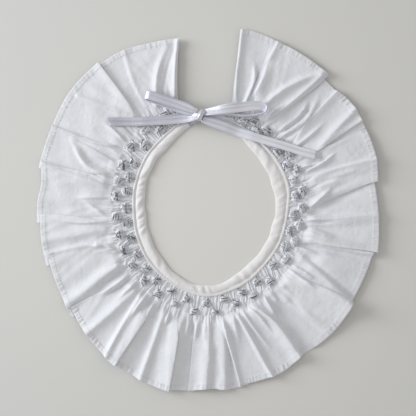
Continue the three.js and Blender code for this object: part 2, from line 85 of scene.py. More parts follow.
# fold edge at the smocking, at the hem, overlap at the hem in degrees, way it
# faces (1 clockwise), bend of its line
FOLDS = [
    (19.0, 20.0, 1.6, -1, 1.8), (32.5, 41.5, 2.6, 1, 1.8), (51.0, 47.0, 2.6, -1, 1.5),
    (63.8, 60.5, 1.9, 1, 1.4), (92.0, 81.7, 2.4, 1, 1.6), (112.2, 106.0, 2.6, 1, 1.4),
    (134.0, 125.0, 3.2, -1, 2.0), (159.0, 149.5, 3.4, -1, 2.4), (176.0, 171.5, 2.8, 1, 1.3),
    (189.0, 187.6, 1.7, 1, 1.8), (196.0, 193.5, 2.6, -1, 1.8), (210.2, 211.5, 2.8, -1, 1.5),
    (228.0, 234.0, 2.4, 1, 1.6), (249.0, 253.6, 3.6, 1, 2.2), (261.5, 267.0, 2.6, 1, 1.5),
    (284.5, 284.0, 1.9, 1, 1.8), (319.5, 321.0, 2.6, 1, 1.8)]
# the two short ends: angle at the smocking, at the hem, bend
RIGHT_END = (10.4, 8.9, 1.2)
LEFT_END = (341.2, 348.6, 1.1)
# radius of the hem at the start, two thirds points and end of each panel
HEM = [
    (133.0, 133.5, 132.8, 131.8), (131.4, 130.9, 130.5, 130.2), (126.2, 125.6, 125.4, 125.3),
    (125.6, 127.9, 128.3, 127.9), (127.9, 127.5, 126.7, 124.3), (121.4, 122.6, 124.7, 127.8),
    (125.3, 124.9, 125.6, 126.6), (127.0, 130.2, 130.9, 129.8), (130.3, 134.9, 135.7, 135.8),
    (136.8, 138.3, 137.2, 140.2), (139.7, 140.6, 141.3, 142.0), (142.8, 142.1, 140.3, 139.4),
    (140.4, 137.3, 134.3, 130.9), (134.8, 131.9, 130.2, 128.9), (132.6, 131.4, 130.4, 129.0),
    (132.2, 131.3, 129.4, 132.1), (133.2, 133.9, 136.5, 136.8), (135.1, 134.3, 130.1, 127.0)]
# creases: height, half width on the side of smaller and of larger angles, share of
# the height at the start and at the end, then the angle and radius of three points
CREASES = [
    (1.5, 0.9, 3.0, 1, 1, (13.2, 76), (10.4, 100), (9.5, 140)),
    (3.2, 1.8, 1.8, 1, 0, (17.2, 76), (18.4, 97), (15.6, 113)),
    (2.4, 0.9, 4.0, 0, 0, (20.4, 84), (21.6, 101), (21.0, 117)),
    (1.4, 1.0, 3.0, 0, 1, (20.8, 112), (21.6, 124), (22.2, 140)),
    (3.4, 2.4, 3.2, 0.4, 0.6, (26.6, 82), (32.6, 105), (39.4, 127)),
    (2.2, 1.2, 1.2, 1, 0, (31.8, 73), (33.4, 83), (35.6, 94)),
    (2.2, 2.6, 1.0, 0.6, 1, (33.2, 74), (38.0, 101), (41.2, 140)),
    (3.4, 1.4, 1.4, 1, 0, (41.8, 72), (43.8, 94), (42.0, 108)),
    (3.9, 1.7, 2.0, 1, 0, (45.0, 72), (47.4, 93), (43.6, 118)),
    (1.6, 0.8, 4.0, 0.8, 1, (50.6, 74), (48.4, 98), (47.0, 140)),
    (2.0, 1.8, 1.6, 0.6, 0, (54.4, 74), (54.4, 88), (53.4, 106)),
    (2.7, 3.0, 2.8, 0.5, 1, (62.4, 84), (58.6, 106), (55.0, 138)),
    (1.3, 2.6, 4.0, 0, 1, (62.6, 86), (60.8, 108), (59.6, 138)),
    (2.2, 2.0, 12.0, 0, 0.2, (63.4, 84), (64.2, 102), (64.4, 122)),
    (2.8, 1.2, 1.4, 1, 0, (67.0, 73), (68.6, 88), (66.6, 101)),
    (2.4, 1.0, 1.2, 1, 0, (70.0, 73), (69.6, 83), (69.0, 94)),
    (1.8, 1.0, 3.6, 1, 1, (73.8, 72), (73.7, 100), (74.4, 138)),
    (1.3, 2.4, 3.0, 0, 0, (77.2, 84), (76.6, 104), (76.2, 122)),
    (1.8, 1.8, 3.4, 0, 0, (80.6, 76), (79.6, 88), (79.0, 102)),
    (2.8, 1.8, 1.4, 0.3, 1, (82.6, 88), (86.6, 80), (92.2, 71)),
    (-2.6, 3.0, 3.2, 0.4, 0.3, (92.0, 78), (88.0, 90), (83.4, 112)),
    (2.4, 1.2, 5.0, 1, 0.7, (98.2, 72), (96.0, 94), (93.2, 122)),
    (-1.8, 0.9, 1.3, 1, 0, (94.6, 71), (94.2, 78), (93.4, 88)),
    (-2.0, 0.9, 1.3, 1, 0, (99.8, 72), (99.2, 80), (98.2, 92)),
    (2.0, 1.6, 6.0, 0.9, 0, (104.2, 74), (104.6, 84), (105.0, 98)),
    (2.2, 3.0, 3.8, 0.9, 0, (107.0, 74), (106.6, 92), (104.6, 124)),
    (1.8, 3.4, 2.8, 0.6, 1, (111.8, 74), (109.0, 98), (106.2, 138)),
    (-1.7, 2.0, 3.2, 0.8, 0.8, (113.6, 76), (110.8, 98), (107.8, 138)),
    (2.6, 24.0, 8.0, 0, 0, (109.5, 92), (117.0, 93), (124.0, 91)),
    (2.0, 1.3, 1.3, 1, 0, (116.4, 72), (115.6, 79), (114.8, 90)),
    (3.4, 5.0, 8.0, 0.6, 0.9, (121.4, 78), (123.4, 98), (126.6, 134)),
    (-1.6, 2.6, 2.2, 0.5, 1, (118.6, 76), (121.0, 98), (124.4, 134)),
    (2.2, 1.4, 1.6, 1, 0, (127.2, 75), (126.4, 85), (126.0, 97)),
    (2.4, 1.2, 1.2, 1, 0, (130.2, 75), (129.4, 88), (129.0, 100)),
    (1.0, 3.0, 4.0, 1, 1, (136.2, 76), (128.6, 100), (125.6, 142)),
    (2.6, 4.6, 13.0, 0.5, 1, (132.6, 76), (127.2, 108), (125.6, 144)),
    (-1.6, 3.0, 4.0, 0.6, 0.3, (139.6, 84), (141.0, 104), (140.0, 130)),
    (2.6, 4.0, 2.2, 0.4, 0.3, (143.4, 80), (140.6, 102), (137.2, 126)),
    (1.4, 1.8, 1.8, 1, 0, (139.6, 75), (139.2, 84), (138.6, 96)),
    (2.4, 2.4, 2.4, 1, 0, (146.4, 76), (146.6, 82), (146.2, 92)),
    (-2.4, 7.5, 3.0, 0.4, 0.8, (147.0, 84), (146.4, 104), (147.4, 130)),
    (3.2, 0.9, 1.4, 1, 0, (151.0, 76), (150.6, 86), (150.4, 100)),
    (4.4, 2.6, 5.0, 0.6, 1, (158.6, 80), (152.0, 100), (149.8, 142)),
    (2.6, 1.4, 1.6, 1, 0, (160.8, 80), (157.2, 91), (154.6, 108)),
    (2.8, 1.8, 1.5, 1, 0, (164.6, 81), (161.4, 98), (157.6, 118)),
    (3.8, 2.4, 1.7, 0.8, 1, (167.6, 82), (164.0, 104), (160.2, 142)),
    (2.6, 2.2, 2.4, 1, 0, (170.0, 80), (169.6, 92), (169.0, 108)),
    (2.2, 1.6, 1.2, 0.8, 1, (175.4, 82), (173.0, 108), (171.0, 142)),
    (4.2, 4.0, 6.5, 0.6, 1, (176.6, 86), (175.6, 106), (176.6, 146)),
    (4.2, 3.8, 6.0, 0.1, 1, (182.0, 98), (181.9, 116), (182.6, 146)),
    (2.6, 1.4, 5.0, 0.8, 0.1, (182.4, 82), (182.0, 94), (181.6, 108)),
    (2.4, 1.6, 1.4, 1, 0, (187.2, 84), (187.8, 94), (187.4, 104)),
    (1.8, 1.2, 1.4, 1, 0, (191.4, 86), (191.6, 94), (191.2, 102)),
    (4.8, 7.6, 9.0, 0.5, 1, (197.0, 86), (194.6, 108), (193.2, 148)),
    (3.8, 3.6, 3.0, 0.9, 1, (204.8, 84), (203.6, 108), (202.5, 148)),
    (2.2, 1.1, 1.2, 1, 0, (201.6, 84), (202.0, 90), (201.4, 98)),
    (5.2, 8.0, 9.0, 0.5, 1, (211.4, 88), (211.0, 108), (211.6, 146)),
    (-2.0, 2.0, 2.0, 0.8, 0, (212.6, 80), (213.2, 86), (213.6, 98)),
    (2.4, 1.2, 1.4, 1, 0, (216.2, 82), (216.6, 92), (216.0, 106)),
    (3.4, 3.0, 1.6, 0.8, 1, (219.2, 82), (217.4, 106), (215.0, 146)),
    (3.4, 3.4, 4.4, 0.8, 1, (222.4, 82), (223.2, 104), (225.0, 142)),
    (2.6, 1.6, 2.0, 1, 0, (224.8, 80), (225.2, 88), (225.8, 104)),
    (-2.0, 1.4, 1.4, 0.6, 0, (228.2, 80), (228.6, 92), (230.0, 108)),
    (3.4, 2.2, 1.8, 1, 0, (230.6, 79), (230.8, 94), (232.0, 112)),
    (-2.6, 1.8, 2.6, 0.6, 0, (233.4, 80), (233.8, 92), (235.2, 106)),
    (3.6, 4.4, 5.0, 0.7, 0.6, (238.2, 80), (236.6, 102), (235.4, 140)),
    (2.2, 1.5, 1.5, 0.4, 1, (242.8, 79), (247.4, 82), (251.0, 92)),
    (1.3, 2.0, 1.6, 1, 1, (250.6, 90), (252.8, 104), (253.8, 136)),
    (1.0, 3.0, 3.6, 0.6, 1, (256.8, 80), (257.4, 104), (258.2, 138)),
    (1.7, 1.0, 2.4, 1, 0, (261.4, 80), (262.6, 102), (265.6, 122)),
    (1.8, 1.4, 1.8, 0.5, 0, (264.0, 80), (268.6, 89), (273.4, 100)),
    (1.6, 1.2, 1.6, 1, 0, (273.8, 80), (273.6, 92), (272.8, 106)),
    (2.3, 3.0, 2.8, 0.6, 1, (280.2, 80), (281.6, 104), (284.0, 138)),
    (3.0, 1.6, 3.4, 0.8, 0.3, (285.0, 79), (287.0, 98), (294.6, 116)),
    (-2.2, 2.4, 2.0, 0.3, 0, (289.6, 84), (290.6, 98), (294.0, 110)),
    (1.8, 1.0, 1.2, 1, 0.3, (293.8, 80), (294.6, 98), (295.0, 114)),
    (2.8, 1.4, 1.4, 0.3, 1, (302.4, 80), (297.8, 101), (295.8, 140)),
    (1.6, 1.2, 2.2, 0.4, 1, (316.6, 94), (312.4, 109), (308.8, 130)),
    (1.8, 1.4, 1.6, 1, 0, (306.0, 80), (307.0, 92), (306.4, 104)),
    (1.8, 5.0, 2.6, 0.6, 1, (319.0, 84), (320.2, 106), (321.6, 142)),
    (1.0, 1.6, 2.6, 0.8, 1, (325.8, 86), (327.0, 108), (330.4, 136)),
    (2.5, 2.8, 2.2, 0.8, 0.3, (330.6, 86), (336.8, 106), (344.0, 124)),
    (-1.6, 1.4, 1.4, 0.4, 0.3, (334.6, 88), (340.6, 105), (346.0, 120)),
    (2.2, 1.6, 1.8, 1, 1, (339.6, 82), (343.6, 102), (348.0, 126))]

# angles of the stitched cells of the smocking, next to the frill and next to the neck
OUTER_CELLS = [15, 26, 36, 46.5, 56.5, 67.5, 81, 92, 103, 114, 127, 143, 156, 167, 178.5, 190,
    201, 211.5, 222, 233, 243, 252.5, 263, 275, 284, 294, 305.5, 318, 331.5]
INNER_CELLS = [9.5, 20.5, 31, 41.5, 51, 62, 73, 84, 97, 108.5, 120, 135, 150, 161.5, 173, 184,
    195.5, 206, 217, 226, 236.5, 248, 258.5, 268, 279, 288.5, 298, 311, 325, 337]


def smooth(x):
    """0 below 0, 1 above 1 and 3x^2 - 2x^3 between."""
    x = np.clip(x, 0.0, 1.0)
    return x * x * (3.0 - 2.0 * x)


def mix(a, b, share):
    """a + (b - a) * share."""
    return a + (b - a) * share


def bell(x, middle, width):
    """exp(-((x - middle) / width)^2)."""
    return np.exp(-((x - middle) / width) ** 2)


def facing(angle, way):
    """cos(angle - way): 1 on the side of the collar at that angle, -1 across from it."""
    return np.cos(np.radians(angle - way))


def through(x, xs, ys):
    """Smooth curve through the points (xs, ys): cubic pieces whose slope at each
    point is that of the line between its two neighbours."""
    xs = np.asarray(xs, float)
    ys = np.asarray(ys, float)
    slope = np.gradient(ys, xs)
    k = np.clip(np.searchsorted(xs, x) - 1, 0, len(xs) - 2)
    h = xs[k + 1] - xs[k]
    s = np.clip((x - xs[k]) / h, 0.0, 1.0)
    return ((1 + 2 * s) * (1 - s) ** 2 * ys[k] + s * (1 - s) ** 2 * h * slope[k]
            + s * s * (3 - 2 * s) * ys[k + 1] + s * s * (s - 1) * h * slope[k + 1])


def neck_radius(angle, column):
    """Radius in a column of NECK at an angle."""
    return through(np.asarray(angle, float), NECK[:, 0], NECK[:, column])


def line_share(t, bend):
    """1 - (1 - t)^bend: how far a fold's line has gone from its inner to its outer
    angle at a share t of the frill's depth."""
    return 1.0 - (1.0 - np.clip(t, 0.0, 1.0)) ** bend


def polar(radius, angle, z):
    """Points in metres at a radius, an angle clockwise from +Y and a height."""
    a = np.radians(angle)
    return np.stack([(CENTRE[0] + radius * np.sin(a)) * MM,
                     (CENTRE[1] + radius * np.cos(a)) * MM, z * MM + 0 * a], axis=-1)


def flow(angle):
    """Angle at the hem of the cloth that leaves the smocking at an angle, from the
    folds' own lines."""
    inner = [RIGHT_END[0]] + [f[0] for f in FOLDS] + [LEFT_END[0]]
    outer = [RIGHT_END[1]] + [f[1] for f in FOLDS] + [LEFT_END[1]]
    return np.interp(angle, inner, outer)


def pleat_wave(angle):
    """Small pleats of the smocking, 0 to 1: a rounded wave whose pitch wanders."""
    phase = angle * 0.6 + 0.35 * np.sin(angle * 0.31) + 0.2 * np.sin(angle * 1.17 + 2.0)
    return np.abs(np.sin(math.pi * phase))


def pleat_share(angle):
    """Share of their full height that the small pleats keep at the seam line, 0.1 to 1."""
    return 0.55 + 0.25 * np.sin(angle * 0.83 + 1.0) + 0.2 * np.sin(angle * 0.31) * np.sin(angle * 1.9)


def crease_height(angle, radius):
    """Height of the creases. Each is a curve through its three points, in arc length
    and radius, and adds height * exp(-1.15 (distance / half width)^1.9), with its own
    half width on each side and its height eased to its share at each end."""
    total = np.zeros(angle.shape)
    for height, before, after, first, last, *points in CREASES:
        spots = np.array(points, float)
        u = np.linspace(0, 2, 9)
        line_a = through(u, [0, 1, 2], spots[:, 0])
        line_r = through(u, [0, 1, 2], spots[:, 1])
        reach = 2.6 * max(before, after)
        degrees = math.degrees(reach / line_r.min())
        near = ((angle > line_a.min() - degrees) & (angle < line_a.max() + degrees)
                & (radius > line_r.min() - reach) & (radius < line_r.max() + reach))
        a, r = angle[near], radius[near]
        best = np.full(a.shape, 1e9)
        share = np.zeros(a.shape)
        side = np.zeros(a.shape)
        for k in range(8):
            arc = np.radians(1.0) * (line_r[k] + line_r[k + 1]) / 2
            dx, dy = (line_a[k + 1] - line_a[k]) * arc, line_r[k + 1] - line_r[k]
            px, py = (a - line_a[k]) * arc, r - line_r[k]
            v = np.clip((px * dx + py * dy) / (dx * dx + dy * dy), 0, 1)
            away = np.hypot(px - v * dx, py - v * dy)
            closer = away < best
            best = np.where(closer, away, best)
            share = np.where(closer, (k + v) / 8, share)
            side = np.where(closer, px * dy - py * dx, side)
        width = mix(before, after, smooth(side / (0.8 * (line_r[-1] - line_r[0] + 1)) + 0.5))
        ends = mix(first, 1.0, smooth(share / 0.3)) * mix(last, 1.0, smooth((1 - share) / 0.45))
        taller = 1.0 + 0.35 * math.exp(-((spots[:, 0].mean() - 105) / 38) ** 2)
        total[near] += taller * height * ends * np.exp(-1.15 * (best / width) ** 1.9)
    return total


def gather_height(angle, radius, settings):
    """Height of the fine gathers: from each cell of the outer row a fan of narrow
    ridges of uneven length, height and spacing, seeded."""
    rng = np.random.default_rng(11)
    total = np.zeros(angle.shape)
    depth = radius - neck_radius(angle, 3)
    cells = np.array(OUTER_CELLS, float)
    gaps = np.diff(np.concatenate([cells, [NECK_ENDS[1]]]))
    for cell, gap in zip(cells, gaps):
        for k in range(settings.gathers):
            place = (k + rng.uniform(-0.3, 0.3)) / settings.gathers
            start = cell + gap * (place + 0.10 * math.sin(2 * math.pi * place))
            finish = start + (flow(start) - start) * 0.6 + rng.uniform(-1.2, 1.2)
            length = 5.0 + 22.0 * rng.random() ** 1.7
            tall = rng.uniform(0.3, 1.0) * settings.gather_height
            wide = rng.uniform(0.7, 1.3)
            near = (np.abs(angle - start) < 9) & (depth < length)
            a, d = angle[near], depth[near]
            line = mix(start, finish, line_share(d / 45.0, 1.4))
            away = np.abs(a - line) * np.radians(radius[near]) / (wide * (1.0 + d / 30.0))
            fall = (1.0 - smooth(d / length)) * (1.0 + 0.7 * np.exp(-np.maximum(d, 0) / 4.0))
            total[near] += tall * fall * np.exp(-away ** 1.7)
    return total


def puff_wave(start):
    """The puffs at a starting angle: height and length of the puff there, and its share
    sin(pi * share)^0.7 between two narrow valleys, of which each cell has two."""
    rng = np.random.default_rng(23)
    cells = np.array(OUTER_CELLS + [NECK_ENDS[1]])
    gaps = np.diff(cells)
    first = cells[:-1] + gaps * rng.uniform(-0.05, 0.15, len(gaps))
    second = cells[:-1] + gaps * rng.uniform(0.45, 0.68, len(gaps))
    inside = np.sort(np.concatenate([first, second]))
    valleys = np.concatenate([[NECK_ENDS[0]], inside, [NECK_ENDS[1] - 1]])
    tall = rng.uniform(0.9, 2.3, len(valleys))
    length = rng.uniform(9.0, 34.0, len(valleys))
    at = np.interp(start, valleys, np.arange(len(valleys)))
    which = np.minimum(at.astype(int), len(valleys) - 2)
    return tall[which], length[which], np.sin(math.pi * np.clip(at - which, 0, 1)) ** 0.7


def puff_height(start, depth):
    """Height of the round puffs in which the cloth leaves the stitched cells: height *
    wave, fading out over the puff's length. start is the angle at which a line of the
    cloth leaves the cells."""
    tall, length, wave = puff_wave(start)
    return tall * wave * (1.0 - smooth(depth / length)) * smooth(depth / 5.0 + 0.3)


def join_height(angle):
    """Height of the cloth at the seam line where the smocking lets go of the frill."""
    tall, _, wave = puff_wave(angle)
    pleats = 0.7 * pleat_share(angle) * (pleat_wave(angle) - 0.45)
    return 2.3 + pleats + 0.25 * np.sin(angle * 0.7) + 0.85 * tall * (wave - 0.66)


def frill_line(t, per_degree, steps):
    """Rows of the frill's middle line. t is a column of shares of the depth. Gives
    angle, height over the base and hem radius, one row a share: through each
    panel, then round each fold as two half circles joined by its middle layer,
    which open into a plain slope near the smocking."""
    t = t[:, None]
    opened = 1.0 - smooth((t - 0.08) / 0.26)
    spread = smooth((t - 0.14) / 0.7)
    stops = [dict(leave=mix(RIGHT_END[0], RIGHT_END[1], line_share(t, RIGHT_END[2])),
                  z_out=0 * t, high=0 * t)]
    for inner, outer, overlap, faces, bend in FOLDS:
        width = overlap * spread
        centre = mix(inner, outer, line_share(t, bend)) - faces * width / 2
        arc = np.radians(mix(neck_radius(centre, 3) + SEAM, MIDDLE_HEM, t))
        run, bulge = 3.2 / arc, LAYER / 2 / arc
        lift = 2 * LAYER * smooth(t / 0.2 + 0.15)
        stops.append(dict(
            centre=centre, width=width, run=run, bulge=bulge,
            z_in=lift if faces > 0 else 0 * t, z_out=0 * t if faces > 0 else lift,
            enter=mix(centre + width / 2, centre - run, opened),
            leave=mix(centre - width / 2, centre + run, opened),
            low=np.minimum(centre - width / 2 - bulge, centre - run * opened) - 0.5 / arc,
            high=np.maximum(centre + width / 2 + bulge, centre + run * opened) + 0.5 / arc))
    stops.append(dict(enter=mix(LEFT_END[0], LEFT_END[1], line_share(t, LEFT_END[2])),
                      z_in=0 * t, low=360 + 0 * t))
    hem_angle = [RIGHT_END[1]] + [f[1] for f in FOLDS] + [LEFT_END[1]]
    angles, heights, hems = [], [], []
    for k in range(len(stops) - 1):
        a, b = stops[k], stops[k + 1]
        count = max(8, int(round((hem_angle[k + 1] - hem_angle[k]) * per_degree)))
        share = np.linspace(0, 1, count + 1)[None, :]
        angle = mix(a["leave"], b["enter"], share)
        low = np.maximum(a["leave"], a["high"])
        high = np.minimum(b["enter"], b["low"])
        climb = smooth((angle - low) / np.maximum(high - low, 0.01))
        angles.append(angle)
        heights.append(mix(a["z_out"], b["z_in"], climb))
        hems.append(through(share, [0, 1 / 3, 2 / 3, 1], HEM[k]) + 0 * t)
        if k == len(stops) - 2:
            break
        share = (np.arange(1, 2 * steps) / (2 * steps))[None, :]
        second = share > 0.5
        turn = np.where(second, share - 0.5, share) * 2 * math.pi
        side = np.where(second, -1.0, 1.0)
        turned = b["centre"] + side * (b["width"] / 2 + np.sin(turn) * b["bulge"])
        plain = b["centre"] + b["run"] * (2 * share - 1)
        fall = 0.25 * (1 - np.cos(turn)) + np.where(second, 0.5, 0.0)
        angles.append(mix(turned, plain, opened))
        heights.append(mix(b["z_in"], b["z_out"], mix(fall, smooth(share), opened)))
        hems.append(mix(HEM[k][3], HEM[k + 1][0], share) + 0 * t)
    return np.hstack(angles), np.hstack(heights), np.hstack(hems)


def hem_lift(angle, t):
    """How far the stiff hem stands off the surface: broad bells round five places, and
    narrower ones at the two short ends."""
    lift = 2.2 * bell(angle, 112, 42) + 0.8 * bell(angle, 340, 13)
    lift = lift + 2.0 * bell(angle, 72, 26) + 1.0 * bell(angle, 225, 30) + 0.8 * bell(angle, 30, 14)
    ends = 1.7 * bell(angle, 348, 9) + 1.0 * bell(angle, 9, 4)
    return lift * smooth((t - 0.2) / 0.8) + ends * smooth(t / 0.3)


def frill_points(t, drop, out, settings):
    """Points of the frill on the shares t, each row lowered by drop and moved out
    by out. Height is base + folds + ridges + gathers + puckers at the hem."""
    angle, z, hem = frill_line(t, settings.columns_per_degree, settings.fold_steps)
    t = t[:, None]
    start = neck_radius(angle, 3) - 0.6
    radius = mix(start, hem, t) + out[:, None]
    base = 0.6 + 1.2 * smooth(t / 0.3) * (1.0 - smooth((t - 0.35) / 0.65))
    creases = crease_height(angle, radius)
    creases = np.where(creases > 0, creases, 0.8 * creases)
    z = base + z + creases
    first = frill_line(np.zeros(1), settings.columns_per_degree, settings.fold_steps)[0]
    z = z + gather_height(angle, radius, settings) + puff_height(first + 0 * t, t * (hem - start))
    reach = 0.12 + 0.09 * np.sin(first * 0.9) + 0.07 * np.sin(first * 2.3 + 1.0)
    reach = reach + 0.05 * np.sin(first * 5.1)
    fade = 1.0 - smooth(t / np.maximum(reach, 0.04))
    z = z + 0.8 * pleat_share(first) * (pleat_wave(first) - 0.45) * fade
    z = mix(join_height(angle), z, smooth((t - 0.01) / 0.12)) - 0.03 - 0.6 * (1.0 - smooth(t / 0.022))
    from_edge = (hem - start) * (1.0 - t)
    in_hem = 1.0 - smooth((from_edge - HEM_WIDTH + 0.5) / 0.8)
    uneven = 0.55 + 0.45 * np.sin(angle * 0.31 + 1.0) * np.sin(angle * 0.83)
    for place, width in ((215, 24), (150, 20), (60, 20)):
        uneven = uneven * (1.0 + 0.5 * bell(angle, place, width))
    pucker = np.sin(angle * 4.7 + 2.2 * np.sin(angle * 0.9) + 1.5 * np.sin(angle * 0.23))
    pucker = uneven * (pucker + 0.6 * np.sin(angle * 7.3 + 1.7 * np.sin(angle * 1.9)))
    end_gap = np.minimum(angle - angle[:, :1], angle[:, -1:] - angle) * np.radians(radius)
    z = z + 0.35 * (1.0 - smooth((np.abs(end_gap) - 2.0) / 0.7))
    z = z + settings.hem_pucker * pucker * in_hem * smooth(from_edge / 0.6 + 0.3) + 0.24 * in_hem
    wrinkle = np.sin(angle * 0.42 + 5.0 * t) * np.sin(7.0 * t + angle * 0.13)
    wrinkle = wrinkle + 0.5 * np.sin(angle * 1.3 + 9.0 * t + 2.0 * np.sin(angle * 0.37 + 4.0 * t))
    soft = np.sin(angle * 0.27 + 9.0 * t + 1.0) * np.sin(angle * 0.61 - 7.0 * t)
    left = 0.5 + 0.5 * facing(angle, 275)
    z = z + (0.2 * wrinkle + 0.45 * left * soft) * smooth(t / 0.2) + hem_lift(angle, t)
    z = 0.55 + 0.5 * np.logaddexp(0.0, (z - 0.55) / 0.5) - drop[:, None]
    return polar(radius, angle, z)


def neck_start(radius):
    """Angle of the slanting right end of the neck's pieces at a radius."""
    return mix(1.6, 10.4, np.clip((radius - 59) / 16.5, 0, 1))


def neck_finish(radius):
    """Angle of the slanting left end of the neck's pieces at a radius."""
    return mix(343.6, 341.2, np.clip((radius - 61) / 20, 0, 1))


def cell_places():
    """Angle and radius of every stitched cell, the outer row then the inner."""
    outer = np.array(OUTER_CELLS, float)
    inner = np.array(INNER_CELLS, float)
    r_outer = mix(neck_radius(outer, 2), neck_radius(outer, 3), 0.74)
    r_inner = mix(neck_radius(inner, 2), neck_radius(inner, 3), 0.31)
    return np.concatenate([outer, inner]), np.concatenate([r_outer, r_inner])


def cell_size(a):
    """Size of a cell as a share of the largest."""
    return 1.0 - 0.26 * bell(a, 185, 42)


def cell_distance(angle, radius, a, r):
    """Distance from a cell's middle in its own half widths, which are smaller at the
    bottom of the neck."""
    size = cell_size(a)
    return np.sqrt((np.radians(angle - a) * r / (4.3 * size)) ** 2 + ((radius - r) / (3.2 * size)) ** 2)


def smocking_height(angle, radius, settings):
    """Height of the smocked band without its pleats: a base that rises a little
    towards the frill, a dome at each stitched cell and a hollow round it."""
    angle, radius = np.broadcast_arrays(angle, radius)
    inner, outer = neck_radius(angle, 2), neck_radius(angle, 3)
    z = 1.25 + 0.95 * smooth((radius - inner) / (outer - inner))
    for a, r in zip(*cell_places()):
        d = cell_distance(angle, radius, a, r)
        near = d < 4
        dome = settings.cell_height * np.maximum(1.0 - d * d, 0.0) ** 0.6
        z = z + np.where(near, dome - settings.hollow * bell(d, 1.2, 0.3), 0.0)
    return z


def smocking_points(settings):
    """The smocked band: pleats that are drawn together at each cell, so the angle
    moves towards the cell by a share of exp(-distance^2)."""
    rows, columns = settings.rows, settings.columns
    s = np.linspace(0, 1, rows)[:, None]
    share = np.linspace(0, 1, columns)[None, :]
    guess = mix(6.0, 342.5, share)
    rough = mix(neck_radius(guess, 2), neck_radius(guess, 3), s)
    angle = mix(neck_start(rough), neck_finish(rough), share)
    radius = mix(neck_radius(angle, 2) - 0.7, neck_radius(angle, 3) + 0.9, s)
    lean = 0.5 * np.sin(angle * 0.55 + 4.0 * s) + 0.35 * np.sin(angle * 1.7 - 5.0 * s)
    wave = pleat_wave(angle + lean)
    moved = angle.copy()
    for a, r in zip(*cell_places()):
        d = cell_distance(angle, radius, a, r)
        moved = moved - np.where(d < 4, settings.pinch * (angle - a) * np.exp(-(d / 1.35) ** 2), 0.0)
    z = smocking_height(moved, radius, settings)
    deep = settings.pleat_height * (0.8 + 0.3 * np.sin(angle * 0.9) + 0.2 * np.sin(angle * 2.3 + 6 * s))
    deep = deep * (1.0 - 0.4 * bell(angle, 182, 38))
    z = z + deep * (wave - 0.5)
    z = mix(z, join_height(moved), smooth((s - 0.78) / 0.14))
    return polar(radius, moved, np.maximum(z, 0.15))


def grid_mesh(name, points, close=False):
    """A mesh of quads over a grid of points (rows, columns, 3), with UV = (column,
    row) shares. close joins the last column to the first."""
    rows, columns = points.shape[:2]
    index = np.arange(rows * columns).reshape(rows, columns)
    if close:
        index = np.hstack([index, index[:, :1]])
    quads = np.stack([index[:-1, :-1], index[:-1, 1:], index[1:, 1:], index[1:, :-1]], -1)
    return mesh_object(name, points.reshape(-1, 3), quads.reshape(-1, 4), (rows, columns))


def mesh_object(name, points, quads, grid=None):
    """A smooth-shaded object at the origin from points and quads as arrays."""
    mesh = bpy.data.meshes.new(name)
    mesh.vertices.add(len(points))
    mesh.vertices.foreach_set("co", np.ascontiguousarray(points, np.float32).ravel())
    mesh.loops.add(quads.size)
    mesh.loops.foreach_set("vertex_index", np.ascontiguousarray(quads, np.int32).ravel())
    mesh.polygons.add(len(quads))
    mesh.polygons.foreach_set("loop_start", np.arange(0, quads.size, 4, dtype=np.int32))
    mesh.polygons.foreach_set("use_smooth", np.ones(len(quads), bool))
    if grid:
        uv = mesh.uv_layers.new(name="UVMap")
        rows, columns = grid
        share = np.stack([(quads.ravel() % columns) / max(columns - 1, 1),
                          (quads.ravel() // columns) / max(rows - 1, 1)], -1)
        uv.data.foreach_set("uv", share.astype(np.float32).ravel())
    mesh.update(calc_edges=True)
    mesh.validate()
    obj = bpy.data.objects.new(name, mesh)
    bpy.context.collection.objects.link(obj)
    return obj


def tubes(name, lines, radius, sides=FLOSS_SIDES):
    """Closed-looking tubes round many lines at once. lines is (n, points, 3) in
    metres; each ring is radius * (cos, sin) in the plane across the line."""
    n, m = lines.shape[:2]
    along = np.gradient(lines, axis=1)
    along /= np.linalg.norm(along, axis=2, keepdims=True) + 1e-12
    up = np.broadcast_to(np.array([0.0, 0.0, 1.0]), along.shape)
    side = np.cross(along, up)
    side /= np.linalg.norm(side, axis=2, keepdims=True) + 1e-9
    up = np.cross(side, along)
    turn = np.arange(sides) * 2 * math.pi / sides
    taper = np.ones(m)
    taper[0] = taper[-1] = 0.35
    ring = (side[:, :, None] * np.cos(turn)[None, None, :, None]
            + up[:, :, None] * np.sin(turn)[None, None, :, None])
    points = lines[:, :, None] + ring * radius * taper[None, :, None, None]
    index = np.arange(n * m * sides).reshape(n, m, sides)
    index = np.concatenate([index, index[:, :, :1]], axis=2)
    quads = np.stack([index[:, :-1, :-1], index[:, 1:, :-1], index[:, 1:, 1:], index[:, :-1, 1:]], -1)
    return mesh_object(name, points.reshape(-1, 3), quads.reshape(-1, 4))


def finish_piece(obj, material, nodes=()):
    """Gives the piece its material, hangs it on the root body and hides the parts that it stands for."""
    obj.data.materials.append(material)
    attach(obj, "root")
    if nodes:
        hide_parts(*nodes)
    return obj


def world_points(obj):
    """An object's vertices as an array, in metres."""
    points = np.empty(len(obj.data.vertices) * 3, np.float32)
    obj.data.vertices.foreach_get("co", points)
    return points.reshape(-1, 3)


def ribbon_share(table):
    """Share of the length at each row of a ribbon's table, measured in plan."""
    step = np.linalg.norm(np.diff(table[:, :2], axis=0), axis=1) + 0.5
    at = np.concatenate([[0], np.cumsum(step)])
    return at / at[-1]


def ribbon_rows(rows, count):
    """Smooth rows along a ribbon: each column of the table as a curve through its
    values over the length along the rows."""
    table = np.array(rows, float)
    at = ribbon_share(table)
    s = np.linspace(0, 1, count)
    return np.stack([through(s, at, table[:, k]) for k in range(6)], axis=-1)


